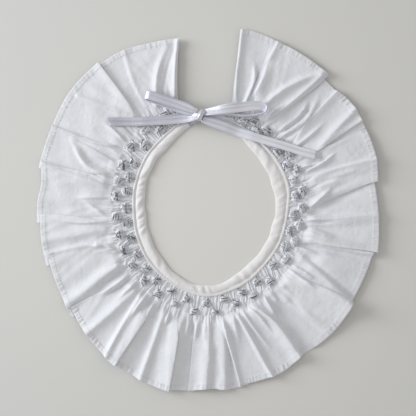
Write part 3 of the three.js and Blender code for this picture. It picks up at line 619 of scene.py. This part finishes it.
def ribbon_points(table, across, curl=0.0):
    """A ribbon from rows of centre x, y, z, way of the width, tilt, width: centre +
    width * share * (cos side cos tilt, sin side cos tilt, sin tilt), cupped by
    curl * (share^2) along its normal."""
    centre = table[:, None, :3].copy()
    side = np.radians(table[:, 3])[:, None]
    tilt = np.radians(table[:, 4])[:, None]
    share = np.linspace(-0.5, 0.5, across)[None, :]
    span = np.stack([np.cos(side) * np.cos(tilt), np.sin(side) * np.cos(tilt), np.sin(tilt)], -1)
    along = np.gradient(table[:, :3], axis=0)[:, None, :]
    normal = np.cross(along, span)
    normal /= np.linalg.norm(normal, axis=-1, keepdims=True) + 1e-12
    points = centre + span * (share * table[:, 5:6])[..., None]
    points = points + normal * (curl * (share * 2) ** 2)[..., None]
    points[..., 0] += CENTRE[0]
    points[..., 1] += CENTRE[1]
    return points * MM


def drape(rows, count, ground, clearance, reach=1.3):
    """Rows along a ribbon that lies over the ground points. The height under each row
    is the highest point within reach of its width; rows without a height of their own
    take the running highest of those, averaged so that the ribbon bridges hollows,
    and the others stay above it."""
    table = np.array(rows, float)
    free = (~np.isnan(table[:, 2])).astype(float)
    order = np.arange(len(table))
    table[:, 2] = np.interp(order, order[free > 0], table[free > 0, 2])
    dense = ribbon_rows(table, count)
    own = np.interp(np.linspace(0, 1, count), ribbon_share(table), free)
    need = np.full(count, 0.4)
    for k in range(count):
        x, y, _, side, _, width = dense[k]
        for share in np.linspace(-0.55, 0.55, 7):
            px = x + CENTRE[0] + share * width * math.cos(math.radians(side))
            py = y + CENTRE[1] + share * width * math.sin(math.radians(side))
            near = (np.abs(ground[:, 0] - px) < reach) & (np.abs(ground[:, 1] - py) < reach)
            if near.any():
                need[k] = max(need[k], ground[near, 2].max())
    need += clearance
    window = max(2, count // 16)
    padded = np.pad(need, 2 * window, mode="edge")
    high = np.max([padded[k:k + count + 2 * window] for k in range(2 * window + 1)], axis=0)
    laid = np.mean([high[k:k + count] for k in range(2 * window + 1)], axis=0)
    dense[:, 2] = np.maximum(mix(laid, dense[:, 2], smooth(own)), need)
    return dense


# Ribbon stretches: x, y, z of the centre from the neck's middle, way of the width
# in plan, tilt, width. A height of nan lies over the cloth.
NAN = float("nan")
LOOP_LEFT = [
    (-11.4, 69.4, 9.2, 73, 40, 4.4), (-14.6, 70.2, 9.4, 73, 34, 5.4), (-18.0, 71.6, 9.3, 73, 22, 6.4),
    (-29.6, 75.9, 8.6, 73, 4, 6.8), (-44.0, 80.6, 8.2, 74, 0, 6.8), (-48.6, 81.9, 7.5, 75, 0, 6.8),
    (-50.4, 82.0, 6.3, 76, 0, 6.8), (-48.4, 80.9, 5.1, 76, 0, 6.6), (-44.0, 79.2, 4.8, 75, 0, 6.6),
    (-36.0, 76.2, 5.2, 75, 0, 6.6), (-27.0, 72.5, 6.1, 73, 0, 6.4), (-18.4, 69.3, 7.4, 73, 14, 5.4),
    (-11.4, 67.6, 7.6, 73, 30, 3.8)]
LOOP_RIGHT = [
    (-7.6, 68.9, 6.6, 92, -24, 5.2), (-1.0, 69.6, 9.4, 94, -22, 6.4), (6.4, 70.6, 11.6, 96, -4, 7.2),
    (14.0, 71.6, 12.4, 97, 16, 7.6), (22.0, 72.6, 11.7, 97, 14, 7.4), (30.0, 73.4, 11.4, 97, 12, 7.2),
    (36.0, 73.1, 10.8, 86, 14, 6.8), (38.8, 71.0, 10.2, 62, 34, 6.4), (38.4, 68.0, 9.7, 62, 60, RIBBON),
    (34.0, 66.4, 9.1, 84, 72, RIBBON), (25.0, 65.7, 8.0, 92, 78, RIBBON), (12.0, 66.9, 7.4, 92, 76, 5.4),
    (2.0, 67.4, 7.3, 92, 70, 4.4), (-7.2, 66.9, 7.4, 96, 62, 3.6)]
TAIL_LEFT = [
    (-10.6, 65.9, 9.0, 98, -6, 4.4), (-14.6, 65.5, 7.7, 96, -16, 6.4), (-20.0, 64.9, 5.9, 95, -16, 7.8),
    (-26.5, 64.3, NAN, 93, -8, 7.8), (-35.0, 63.4, NAN, 92, 0, 7.2), (-45.0, 62.7, NAN, 90, 0, 6.8),
    (-56.0, 62.2, NAN, 90, 0, 6.6), (-67.0, 62.0, NAN, 90, 0, 6.6), (-78.0, 61.8, NAN, 114, 0, 7.0)]
TAIL_RIGHT = [
    (-8.2, 63.8, 6.4, 62, 10, 4.4), (-3.4, 62.4, 6.2, 63, 8, 6.4), (1.6, 61.0, 5.8, 64, 4, 7.4),
    (8.0, 58.9, 5.2, 67, 0, 7.6), (18.0, 55.1, NAN, 70, 0, 7.4), (27.0, 52.0, NAN, 71, 0, 6.8),
    (36.5, 49.0, NAN, 71, 0, RIBBON), (46.0, 46.2, NAN, 71, 0, RIBBON), (56.0, 43.2, NAN, 69, 0, RIBBON),
    (66.0, 39.9, NAN, 69, 0, RIBBON), (76.4, 37.0, NAN, 84, 0, 6.5)]
TIE_LEFT = [
    (-18.6, 62.5, 1.6, 106, 0, RIBBON), (-14.0, 64.1, 3.0, 110, 0, 5.2), (-9.9, 66.2, 4.4, 114, 0, 3.6)]
TIE_RIGHT = [
    (15.4, 62.4, 1.2, 78, 0, 5.6), (9.8, 63.7, 3.2, 80, 0, 6.0), (4.2, 64.6, 4.1, 82, 0, 6.4),
    (-2.4, 65.6, 4.3, 84, 0, 6.0), (-9.0, 66.6, 4.6, 88, 0, 3.8)]


def add_node(nodes, kind, operation="", **values):
    """A shader node with values for its inputs by name, where _ stands for a space and
    in0, in1, in2 for the first three."""
    made = nodes.new("ShaderNode" + kind)
    if operation:
        made.operation = operation
    for name, value in values.items():
        place = int(name[2:]) if name[:2] == "in" else name.replace("_", " ")
        made.inputs[place].default_value = value
    return made


def wire(links, *rows):
    """Joins nodes: each row is a node, its output, the next node and its input."""
    for source, output, target, socket in rows:
        links.new(source.outputs[output], target.inputs[socket])


def add_ramp(nodes, stops):
    """A colour ramp through stops of place and colour."""
    made = nodes.new("ShaderNodeValToRGB")
    ramp = made.color_ramp
    while len(ramp.elements) < len(stops):
        ramp.elements.new(0.5)
    for stop, (place, colour) in zip(ramp.elements, stops):
        stop.position = place
        stop.color = (*colour, 1)
    return made


def new_material(name):
    """A material and its nodes, links and shader."""
    made = bpy.data.materials.new(name)
    made.use_nodes = True
    tree = made.node_tree
    return made, tree.nodes, tree.links, tree.nodes["Principled BSDF"]


def weave_group():
    """Shared weave: fine threads both ways and slow unevenness, as a value for bump
    and one for colour."""
    name = "cloth_weave"
    if name in bpy.data.node_groups:
        return bpy.data.node_groups[name]
    group = bpy.data.node_groups.new(name, "ShaderNodeTree")
    for socket in ("Pitch", "Threads", "Cloud", "Wrinkle"):
        group.interface.new_socket(name=socket, in_out="INPUT" if socket == "Pitch" else "OUTPUT",
                                   socket_type="NodeSocketFloat")
    nodes, links = group.nodes, group.links
    start = nodes.new("NodeGroupInput")
    end = nodes.new("NodeGroupOutput")
    where = add_node(nodes, "TexCoord")
    both = add_node(nodes, "Math", "ADD")
    for k, axis in enumerate("XY"):
        wave = add_node(nodes, "TexWave", Distortion=1.2, Detail=1.0)
        wave.bands_direction = axis
        wire(links, (where, "Object", wave, "Vector"), (start, "Pitch", wave, "Scale"),
                    (wave, "Fac", both, k))
    wire(links, (both, 0, end, "Threads"))
    cloud = add_node(nodes, "TexNoise", Scale=90.0, Detail=5.0)
    wrinkle = add_node(nodes, "TexNoise", Scale=170.0, Detail=3.0, Distortion=0.6)
    for noise, socket in ((cloud, "Cloud"), (wrinkle, "Wrinkle")):
        wire(links, (where, "Object", noise, "Vector"), (noise, "Fac", end, socket))
    return group


def fabric(name, low, high, roughness, bump, pitch, sheen=0.0, crumple=0.0, tone=""):
    """A cloth material: colour between low and high by the weave's cloud, bump from
    its threads. Sheen and roughness are set on the shader itself."""
    made, nodes, links, shader = new_material(name)
    weave = nodes.new("ShaderNodeGroup")
    weave.node_tree = weave_group()
    weave.inputs["Pitch"].default_value = pitch
    ramp = add_ramp(nodes, [(0.3, low), (0.7, high)])
    if tone:
        shade = add_node(nodes, "Attribute")
        shade.attribute_name = tone
    links.new(shade.outputs["Fac"] if tone else weave.outputs["Cloud"], ramp.inputs["Fac"])
    wire(links, (ramp, "Color", shader, "Base Color"))
    raised = add_node(nodes, "Bump", Strength=bump, Distance=0.0001)
    wire(links, (weave, "Threads", raised, "Height"))
    if crumple:
        soft = add_node(nodes, "Bump", Strength=1.0, Distance=crumple)
        wire(links, (weave, "Wrinkle", soft, "Height"), (soft, "Normal", raised, "Normal"))
    wire(links, (raised, "Normal", shader, "Normal"))
    shader.inputs["Roughness"].default_value = roughness
    shader.inputs["Sheen Weight"].default_value = sheen
    shader.inputs["Specular IOR Level"].default_value = 0.3
    return made


def satin(name):
    """Satin: a close gloss over fine threads and broad bands that run the ribbon's length,
    from its own UV (u across, v along), with painted shade that makes its colour darker to the left and
    paler to the right, and glossier woven edges."""
    made, nodes, links, shader = new_material(name)
    where = nodes.new("ShaderNodeUVMap")
    where.uv_map = "UVMap"
    place = add_node(nodes, "Mapping", Scale=(26.0, 1.4, 1.0))
    streak = add_node(nodes, "TexNoise", Scale=1.0, Detail=5.0, Roughness=0.65)
    wide = add_node(nodes, "Mapping", Scale=(4.0, 1.3, 1.0), Location=(0.3, 2.2, 0.0))
    band = add_node(nodes, "TexNoise", Scale=1.0, Detail=1.0)
    for mapping, noise in ((place, streak), (wide, band)):
        wire(links, (where, "UV", mapping, "Vector"), (mapping, "Vector", noise, "Vector"))
    along = add_node(nodes, "SeparateXYZ")
    # Painted shade: the base colour is made darker to the left and paler to the right along X.
    side = add_node(nodes, "MapRange", From_Min=-0.06, From_Max=0.03, To_Min=-0.03, To_Max=0.115)
    wire(links, (add_node(nodes, "TexCoord"), "Object", along, "Vector"), (along, "X", side, "Value"))
    fine = add_node(nodes, "Math", "MULTIPLY_ADD", in1=0.55)
    wire(links, (streak, "Fac", fine, 0), (side, "Result", fine, 2))
    both = add_node(nodes, "Math", "MULTIPLY_ADD", in1=0.32)
    wire(links, (band, "Fac", both, 0), (fine, 0, both, 2))
    ramp = add_ramp(nodes, [(0.38, (0.505, 0.515, 0.61)), (0.62, (0.885, 0.905, 0.985))])
    wire(links, (both, 0, ramp, "Fac"), (ramp, "Color", shader, "Base Color"))
    split = add_node(nodes, "SeparateXYZ")
    wire(links, (where, "UV", split, "Vector"))
    edge = add_node(nodes, "Math", "PINGPONG", in1=0.5)
    wire(links, (split, "X", edge, 0))
    rim = add_node(nodes, "MapRange", From_Max=0.09, To_Min=0.6, To_Max=0.33)
    wire(links, (edge, 0, rim, "Value"), (rim, "Result", shader, "Roughness"))
    raised = add_node(nodes, "Bump", Strength=0.6, Distance=0.0002)
    wire(links, (streak, "Fac", raised, "Height"), (raised, "Normal", shader, "Normal"))
    shader.inputs["Metallic"].default_value = 0.4
    return made


# Each cloth: darkest and palest colour, roughness, depth of its threads and their pitch.
CLOTHS = {
    "cotton_lawn": ((0.715, 0.735, 0.785), (0.755, 0.775, 0.82), 0.9, 0.25, 900.0, 0.15, 0.0006),
    # cotton_binding: its blotches are random, but the warm tint of its darker colour is painted shade,
    # the warm tint of the binding's shadows; the paler colour is the cloth's own.
    "cotton_binding": ((0.750, 0.742, 0.750), (0.805, 0.81, 0.835), 0.9, 0.25, 900.0, 0.15, 0.0006),
    "smocking_floss": ((0.20, 0.21, 0.24), (0.72, 0.74, 0.79), 0.4, 0.5, 2500.0, 0.1, 0.0, "tone"),
    "sewing_thread": ((0.70, 0.71, 0.76), (0.78, 0.79, 0.84), 0.7, 0.3, 3000.0)}


def material(name):
    """The named material, made on first use."""
    if name in bpy.data.materials:
        return bpy.data.materials[name]
    return fabric(name, *CLOTHS[name]) if name in CLOTHS else satin(name)


class FrillSettings(bpy.types.PropertyGroup):
    rows: IntProperty(name="Rows", description="Rows from the smocking to the hem", default=64, min=12)
    columns_per_degree: FloatProperty(name="Columns per degree", description="Columns in each panel",
                                      default=3.0, min=0.3)
    fold_steps: IntProperty(name="Fold steps", description="Columns in each half turn of a fold",
                            default=6, min=3)
    gathers: IntProperty(name="Gathers", description="Fine gathers for each stitched cell",
                         default=4, min=1)
    gather_height: FloatProperty(name="Gather height", description="Height of the fine gathers in mm",
                                 default=1.1, min=0.0)
    hem_pucker: FloatProperty(name="Hem pucker", description="Height of the hem's puckers in mm",
                              default=0.34, min=0.0)


class SmockingSettings(bpy.types.PropertyGroup):
    rows: IntProperty(name="Rows", description="Rows across the smocked band", default=44, min=8)
    columns: IntProperty(name="Columns", description="Columns along the band", default=1900, min=100)
    cell_height: FloatProperty(name="Cell height", description="Rise of a stitched cell in mm",
                               default=2.4)
    hollow: FloatProperty(name="Hollow", description="Depth of the hollow round a cell in mm",
                          default=0.5)
    pinch: FloatProperty(name="Pinch", description="Share by which pleats are drawn together",
                         default=0.5, min=0.0, max=0.9)
    pleat_height: FloatProperty(name="Pleat height", description="Rise of the small pleats in mm",
                                default=1.4)
    wraps: IntProperty(name="Wraps", description="Threads wound round each cell", default=10, min=1)
    thread: FloatProperty(name="Thread", description="Radius of the floss in mm", default=0.28)


class RibbonSettings(bpy.types.PropertyGroup):
    across: IntProperty(name="Across", description="Points across the ribbon", default=11, min=3)
    along: IntProperty(name="Along", description="Rows along each stretch", default=110, min=8)
    thickness: FloatProperty(name="Thickness", description="Thickness of the ribbon", default=0.0004,
                             unit="LENGTH")


class StageSettings(bpy.types.PropertyGroup):
    distance: FloatProperty(name="Distance", description="Height of the camera over the surface",
                            default=0.8667, unit="LENGTH")
    key: FloatProperty(name="Key light", description="Power of the soft window light",
                       default=14.4, unit="POWER")
    fill: FloatProperty(name="Fill", description="Strength of the even light", default=0.58)


class COLLAR_OT_frill(bpy.types.Operator):
    """Builds the gathered frill with its turned hem"""
    bl_idname = "collar.frill"
    bl_label = "Frill"

    def execute(self, context):
        settings = context.scene.collar_frill
        rows = settings.rows
        t = np.linspace(0, 1, rows)
        back = 1.0 - np.array([0.015, 0.04, 0.066])
        shares = np.concatenate([t, [1.0, 1.0], back])
        drop = np.concatenate([0 * t, [0.2, 0.36], 0.38 + 0 * back])
        out = np.concatenate([0 * t, [0.2, 0.05], 0 * back])
        points = frill_points(shares, drop, out, settings)
        piece = grid_mesh("frill_cloth", points)
        finish_piece(piece, material("cotton_lawn"), ["frill"])
        line = points[rows - 5] + np.array([0.0, 0.0, 0.05 * MM])
        at = np.concatenate([[0], np.cumsum(np.linalg.norm(np.diff(line, axis=0), axis=1))])
        places = np.arange(1.2 * MM, at[-1] - 2.4 * MM, 2.4 * MM)[:, None] + np.linspace(0, 1.6 * MM, 5)
        lines = np.stack([np.interp(places, at, line[:, k]) for k in range(3)], axis=-1)
        stitches = tubes("hem_stitching", lines, 0.13 * MM, 4)
        finish_piece(stitches, material("sewing_thread"))
        return {"FINISHED"}


class COLLAR_OT_smocking(bpy.types.Operator):
    """Builds the smocked band and the floss wound round its cells"""
    bl_idname = "collar.smocking"
    bl_label = "Smocking"

    def execute(self, context):
        settings = context.scene.collar_smocking
        piece = grid_mesh("smocked_cloth", smocking_points(settings))
        finish_piece(piece, material("cotton_lawn"), ["smocked_band"])
        rng = np.random.default_rng(5)
        share = np.linspace(-1, 1, STITCH_POINTS)
        lines, tones = [], []
        for a, r in zip(*cell_places()):
            fan = rng.uniform(-0.6, 0.6)
            for k in range(settings.wraps):
                offset = (k - (settings.wraps - 1) / 2) * rng.uniform(0.5, 0.66) * cell_size(a)
                reach = 3.9 * cell_size(a) * math.sqrt(1.0 - (offset / 3.8) ** 2)
                reach = reach * rng.uniform(0.75, 1.05)
                crossing = rng.random() < 0.25
                lean = rng.choice([-1.7, 1.7]) if crossing else fan + rng.uniform(-0.4, 0.4)
                bow = rng.uniform(0.15, 0.55)
                radius = r + offset * (1 - bow * share ** 2) + share * lean
                angle = a + np.degrees((share * reach + rng.uniform(-0.4, 0.4)) / r)
                z = smocking_height(angle, radius, settings) + rng.uniform(0.05, 0.6) * (1 - share ** 4)
                lines.append(polar(radius, angle, z + 0.12 - 0.5 * share ** 8))
                # Painted light: floss round the right side of the collar, near 108 degrees, is made
                # paler, where its cells catch the light.
                pale = 0.35 * math.exp(-((a - 108) / 45) ** 2)
                tone = rng.choice([0.05, 0.25]) if crossing else rng.choice([0.15, 0.5, 0.75, 0.9, 1.0])
                tones.append(min(tone + pale, 1.0))
        floss = tubes("smocking_floss", np.array(lines), settings.thread * MM)
        tone = floss.data.attributes.new("tone", "FLOAT", "POINT")
        tone.data.foreach_set("value", np.repeat(tones, STITCH_POINTS * FLOSS_SIDES).astype(np.float32))
        finish_piece(floss, material("smocking_floss"))
        return {"FINISHED"}


class COLLAR_OT_binding(bpy.types.Operator):
    """Builds the folded neck binding and its edge stitching"""
    bl_idname = "collar.binding"
    bl_label = "Neck binding"

    def execute(self, context):
        columns = 900
        share = np.linspace(0, 1, columns)[None, :]
        # across the strip: share of the width, height; under the rim first
        profile = np.array([
            (0.16, 0.1), (0.05, 0.12), (0.0, 0.45), (0.0, 0.8), (0.03, 1.15), (0.08, 1.5),
            (0.15, 1.85), (0.25, 2.2), (0.37, 2.42), (0.5, 2.45), (0.61, 2.3), (0.69, 1.95),
            (0.75, 1.5), (0.79, 1.35), (0.83, 1.6), (0.89, 2.05), (0.96, 2.05), (1.01, 1.8),
            (1.03, 1.2)])
        across = profile[:, :1]
        guess = mix(*NECK_ENDS, share)
        rough = mix(neck_radius(guess, 1), neck_radius(guess, 2), across)
        angle = mix(neck_start(rough), neck_finish(rough), share)
        radius = mix(neck_radius(angle, 1), neck_radius(angle, 2), across)
        slant = angle + 9.0 * across + 9.0 * np.sin(angle * 0.07) + 3.5 * np.sin(angle * 0.19 + 2.0)
        strong = 0.45 + 0.1 * facing(angle, 275) + 0.2 * np.cos(np.radians(3 * (angle - 160)))
        pucker = strong * np.sin(slant * 0.55) * (0.7 + 0.3 * np.sin(slant * 0.17))
        pucker = pucker + 0.03 * np.sin(slant * 1.43 + 1.0)
        right = 0.5 + 0.5 * facing(angle, 110)
        pucker = pucker + (0.3 - 0.2 * right) * np.sin(slant * 0.83 + 1.0) * np.sin(angle * 0.13)
        pucker = pucker + 0.28 * right * np.sin(angle * 0.5 + 2.5 * np.sin(angle * 0.17) + 4.0 * across)
        inside = np.sin(math.pi * np.clip(across / GROOVE, 0, 1)) * (across < GROOVE)
        small = 0.05 * np.sin(angle * 5.2) * (across > 0.7)
        edge = 0.25 * np.sin(angle * 0.33) * (1 - across)
        tall = 1.12 + 0.2 * facing(angle, 275)
        flat = bell(angle, 180, 32)
        groove = 0.75 * bell(across, GROOVE, 0.05)
        z = profile[:, 1:] * tall + flat * groove + pucker * inside + small
        piece = grid_mesh("binding_cloth", polar(radius + edge, angle, np.maximum(z, 0.08)))
        finish_piece(piece, material("cotton_binding"), ["neck_binding"])
        count = 190
        middle = (np.arange(count) + 0.5) / count
        local = np.linspace(-0.36, 0.36, 5)[None, :] / count
        share = middle[:, None] + local
        guess = mix(6.0, 342.6, share)
        radius = mix(neck_radius(guess, 1), neck_radius(guess, 2), GROOVE)
        z = 1.42 + 0.06 * np.cos(np.linspace(-1.3, 1.3, 5))[None, :]
        stitches = tubes("edge_stitching", polar(radius, guess, z + 0 * radius), 0.16 * MM, 5)
        finish_piece(stitches, material("sewing_thread"))
        return {"FINISHED"}


class COLLAR_OT_ribbon(bpy.types.Operator):
    """Builds the satin ties and the bow"""
    bl_idname = "collar.ribbon"
    bl_label = "Ribbon bow"

    def execute(self, context):
        settings = context.scene.collar_ribbon
        cloths = ("frill_cloth", "smocked_cloth", "smocking_floss", "binding_cloth")
        ground = np.vstack([world_points(bpy.data.objects[name]) for name in cloths]) / MM
        stretches = [("satin_loop_left", LOOP_LEFT, "bow_loop_left", 0.25),
                     ("satin_loop_right", LOOP_RIGHT, "bow_loop_right", 0.25),
                     ("satin_tail_left", TAIL_LEFT, "bow_tail_left", -0.2),
                     ("satin_tail_right", TAIL_RIGHT, "bow_tail_right", -0.2),
                     ("satin_tie_left", TIE_LEFT, "ribbon_tie_left", 0.1),
                     ("satin_tie_right", TIE_RIGHT, "ribbon_tie_right", 0.1)]
        for name, rows, node, curl in stretches:
            if "tie" in name:
                dense = ribbon_rows(rows, settings.along)
            else:
                dense = drape(rows, settings.along, ground, 0.35)
            piece = grid_mesh(name, ribbon_points(dense, settings.across, curl))
            solid = piece.modifiers.new("thickness", "SOLIDIFY")
            solid.thickness = settings.thickness
            solid.offset = 0.0
            finish_piece(piece, material("satin_ribbon"), [node])
        self.knot()
        return {"FINISHED"}

    def knot(self):
        """The knot: one turn of ribbon drawn round the others, an oval ring whose
        width is pulled in at the back, with its lengthwise pleats."""
        around = np.linspace(0, 2 * math.pi, 61)[:, None]
        along = np.linspace(-1, 1, 19)[None, :]
        bulge = 1.0 + 0.06 * np.cos(along * 7.0) - 0.25 * along ** 2
        y = 4.2 * np.cos(around) * bulge
        z = 7.2 + 2.6 * np.sin(around) * bulge
        x = along * (2.3 + 0.3 * np.cos(around * 2)) + 0.3 * np.cos(around)
        turn = math.radians(-24)
        px = x * math.cos(turn) - y * math.sin(turn) - 9.4
        py = x * math.sin(turn) + y * math.cos(turn) + 67.1
        points = np.stack([px + CENTRE[0], py + CENTRE[1], z + 0 * px], -1) * MM
        piece = grid_mesh("satin_knot", points)
        solid = piece.modifiers.new("thickness", "SOLIDIFY")
        solid.thickness = 0.0005
        finish_piece(piece, material("satin_ribbon"), ["bow_knot"])


class COLLAR_OT_stage(bpy.types.Operator):
    """Adds the pale floor, whose colour holds a painted pool of light round the middle, the soft window
    light and the camera
    """
    bl_idname = "collar.stage"
    bl_label = "Stage"

    def execute(self, context):
        settings = context.scene.collar_stage
        scene = context.scene
        scene.view_settings.view_transform = "Standard"
        bpy.ops.mesh.primitive_plane_add(size=3.0, location=(0, 0, 0))
        floor = context.active_object
        floor.name = "floor"
        floor_paint_and_light, nodes, links, shader = new_material("floor_paint")
        # Painted light: the floor's colour is paler and warmer round the middle and darker further out,
        # a painted pool of light, with a faint grain from the noise.
        place = add_node(nodes, "TexCoord")
        grain = add_node(nodes, "TexNoise", Scale=9.0)
        away = add_node(nodes, "VectorMath", "LENGTH")
        wire(links, (place, "Object", away, 0), (place, "Object", grain, "Vector"))
        grain_and_painted_light = add_node(nodes, "Math", "MULTIPLY_ADD", in1=0.03)
        wire(links, (grain, "Fac", grain_and_painted_light, 0), (away, "Value", grain_and_painted_light, 2))
        # painted pool of light: the pale stop near the middle, the darker stop further out
        ramp = add_ramp(nodes, [(0.02, (0.705, 0.705, 0.685)), (0.24, (0.635, 0.64, 0.635))])
        ramp.color_ramp.interpolation = "EASE"
        wire(links, (grain_and_painted_light, 0, ramp, "Fac"), (ramp, "Color", shader, "Base Color"))
        shader.inputs["Roughness"].default_value = 0.8
        floor.data.materials.append(floor_paint_and_light)
        world = bpy.data.worlds.new("even_light")
        world.use_nodes = True
        world.node_tree.nodes["Background"].inputs["Color"].default_value = (1.0, 0.97, 0.93, 1)
        world.node_tree.nodes["Background"].inputs["Strength"].default_value = settings.fill
        scene.world = world
        lamp = bpy.data.lights.new("window", "AREA")
        lamp.energy = settings.key
        lamp.size = 0.7
        lamp.color = (0.95, 0.98, 1.0)
        window = bpy.data.objects.new("window", lamp)
        window.location = (-1.2, 0.32, 0.56)
        direction = -window.location.normalized()
        window.rotation_euler = direction.to_track_quat("-Z", "Y").to_euler()
        context.collection.objects.link(window)
        camera = bpy.data.objects.new("camera", bpy.data.cameras.new("camera"))
        camera.data.lens = 100.0
        camera.data.sensor_width = 36.0
        camera.location = (-0.00015, 0.00135, settings.distance)
        context.collection.objects.link(camera)
        scene.camera = camera
        return {"FINISHED"}


class COLLAR_PT_panel(bpy.types.Panel):
    """Buttons and settings for each piece of the collar"""
    bl_idname = "COLLAR_PT_panel"
    bl_label = "Embroidered collar"
    bl_space_type = "VIEW_3D"
    bl_region_type = "UI"
    bl_category = "Collar"

    def draw(self, context):
        for group, operators in PANEL_ROWS:
            box = self.layout.box()
            settings = getattr(context.scene, group)
            for name in settings.__annotations__:
                box.prop(settings, name)
            for operator in operators:
                box.operator(operator)


PANEL_ROWS = [("collar_frill", ["collar.frill"]),
              ("collar_smocking", ["collar.smocking", "collar.binding"]),
              ("collar_ribbon", ["collar.ribbon"]), ("collar_stage", ["collar.stage"])]
GROUPS = {"collar_frill": FrillSettings, "collar_smocking": SmockingSettings,
          "collar_ribbon": RibbonSettings, "collar_stage": StageSettings}
CLASSES = [*GROUPS.values(), COLLAR_OT_frill, COLLAR_OT_smocking, COLLAR_OT_binding,
           COLLAR_OT_ribbon, COLLAR_OT_stage, COLLAR_PT_panel]


def register():
    for cls in CLASSES:
        bpy.utils.register_class(cls)
    for name, group in GROUPS.items():
        setattr(bpy.types.Scene, name, PointerProperty(type=group))


def unregister():
    for name in GROUPS:
        delattr(bpy.types.Scene, name)
    for cls in reversed(CLASSES):
        bpy.utils.unregister_class(cls)


def main():
    register()
    bpy.ops.collar.stage()
    bpy.ops.collar.frill()
    bpy.ops.collar.smocking()
    bpy.ops.collar.binding()
    bpy.ops.collar.ribbon()


if __name__ == "__main__":
    main()
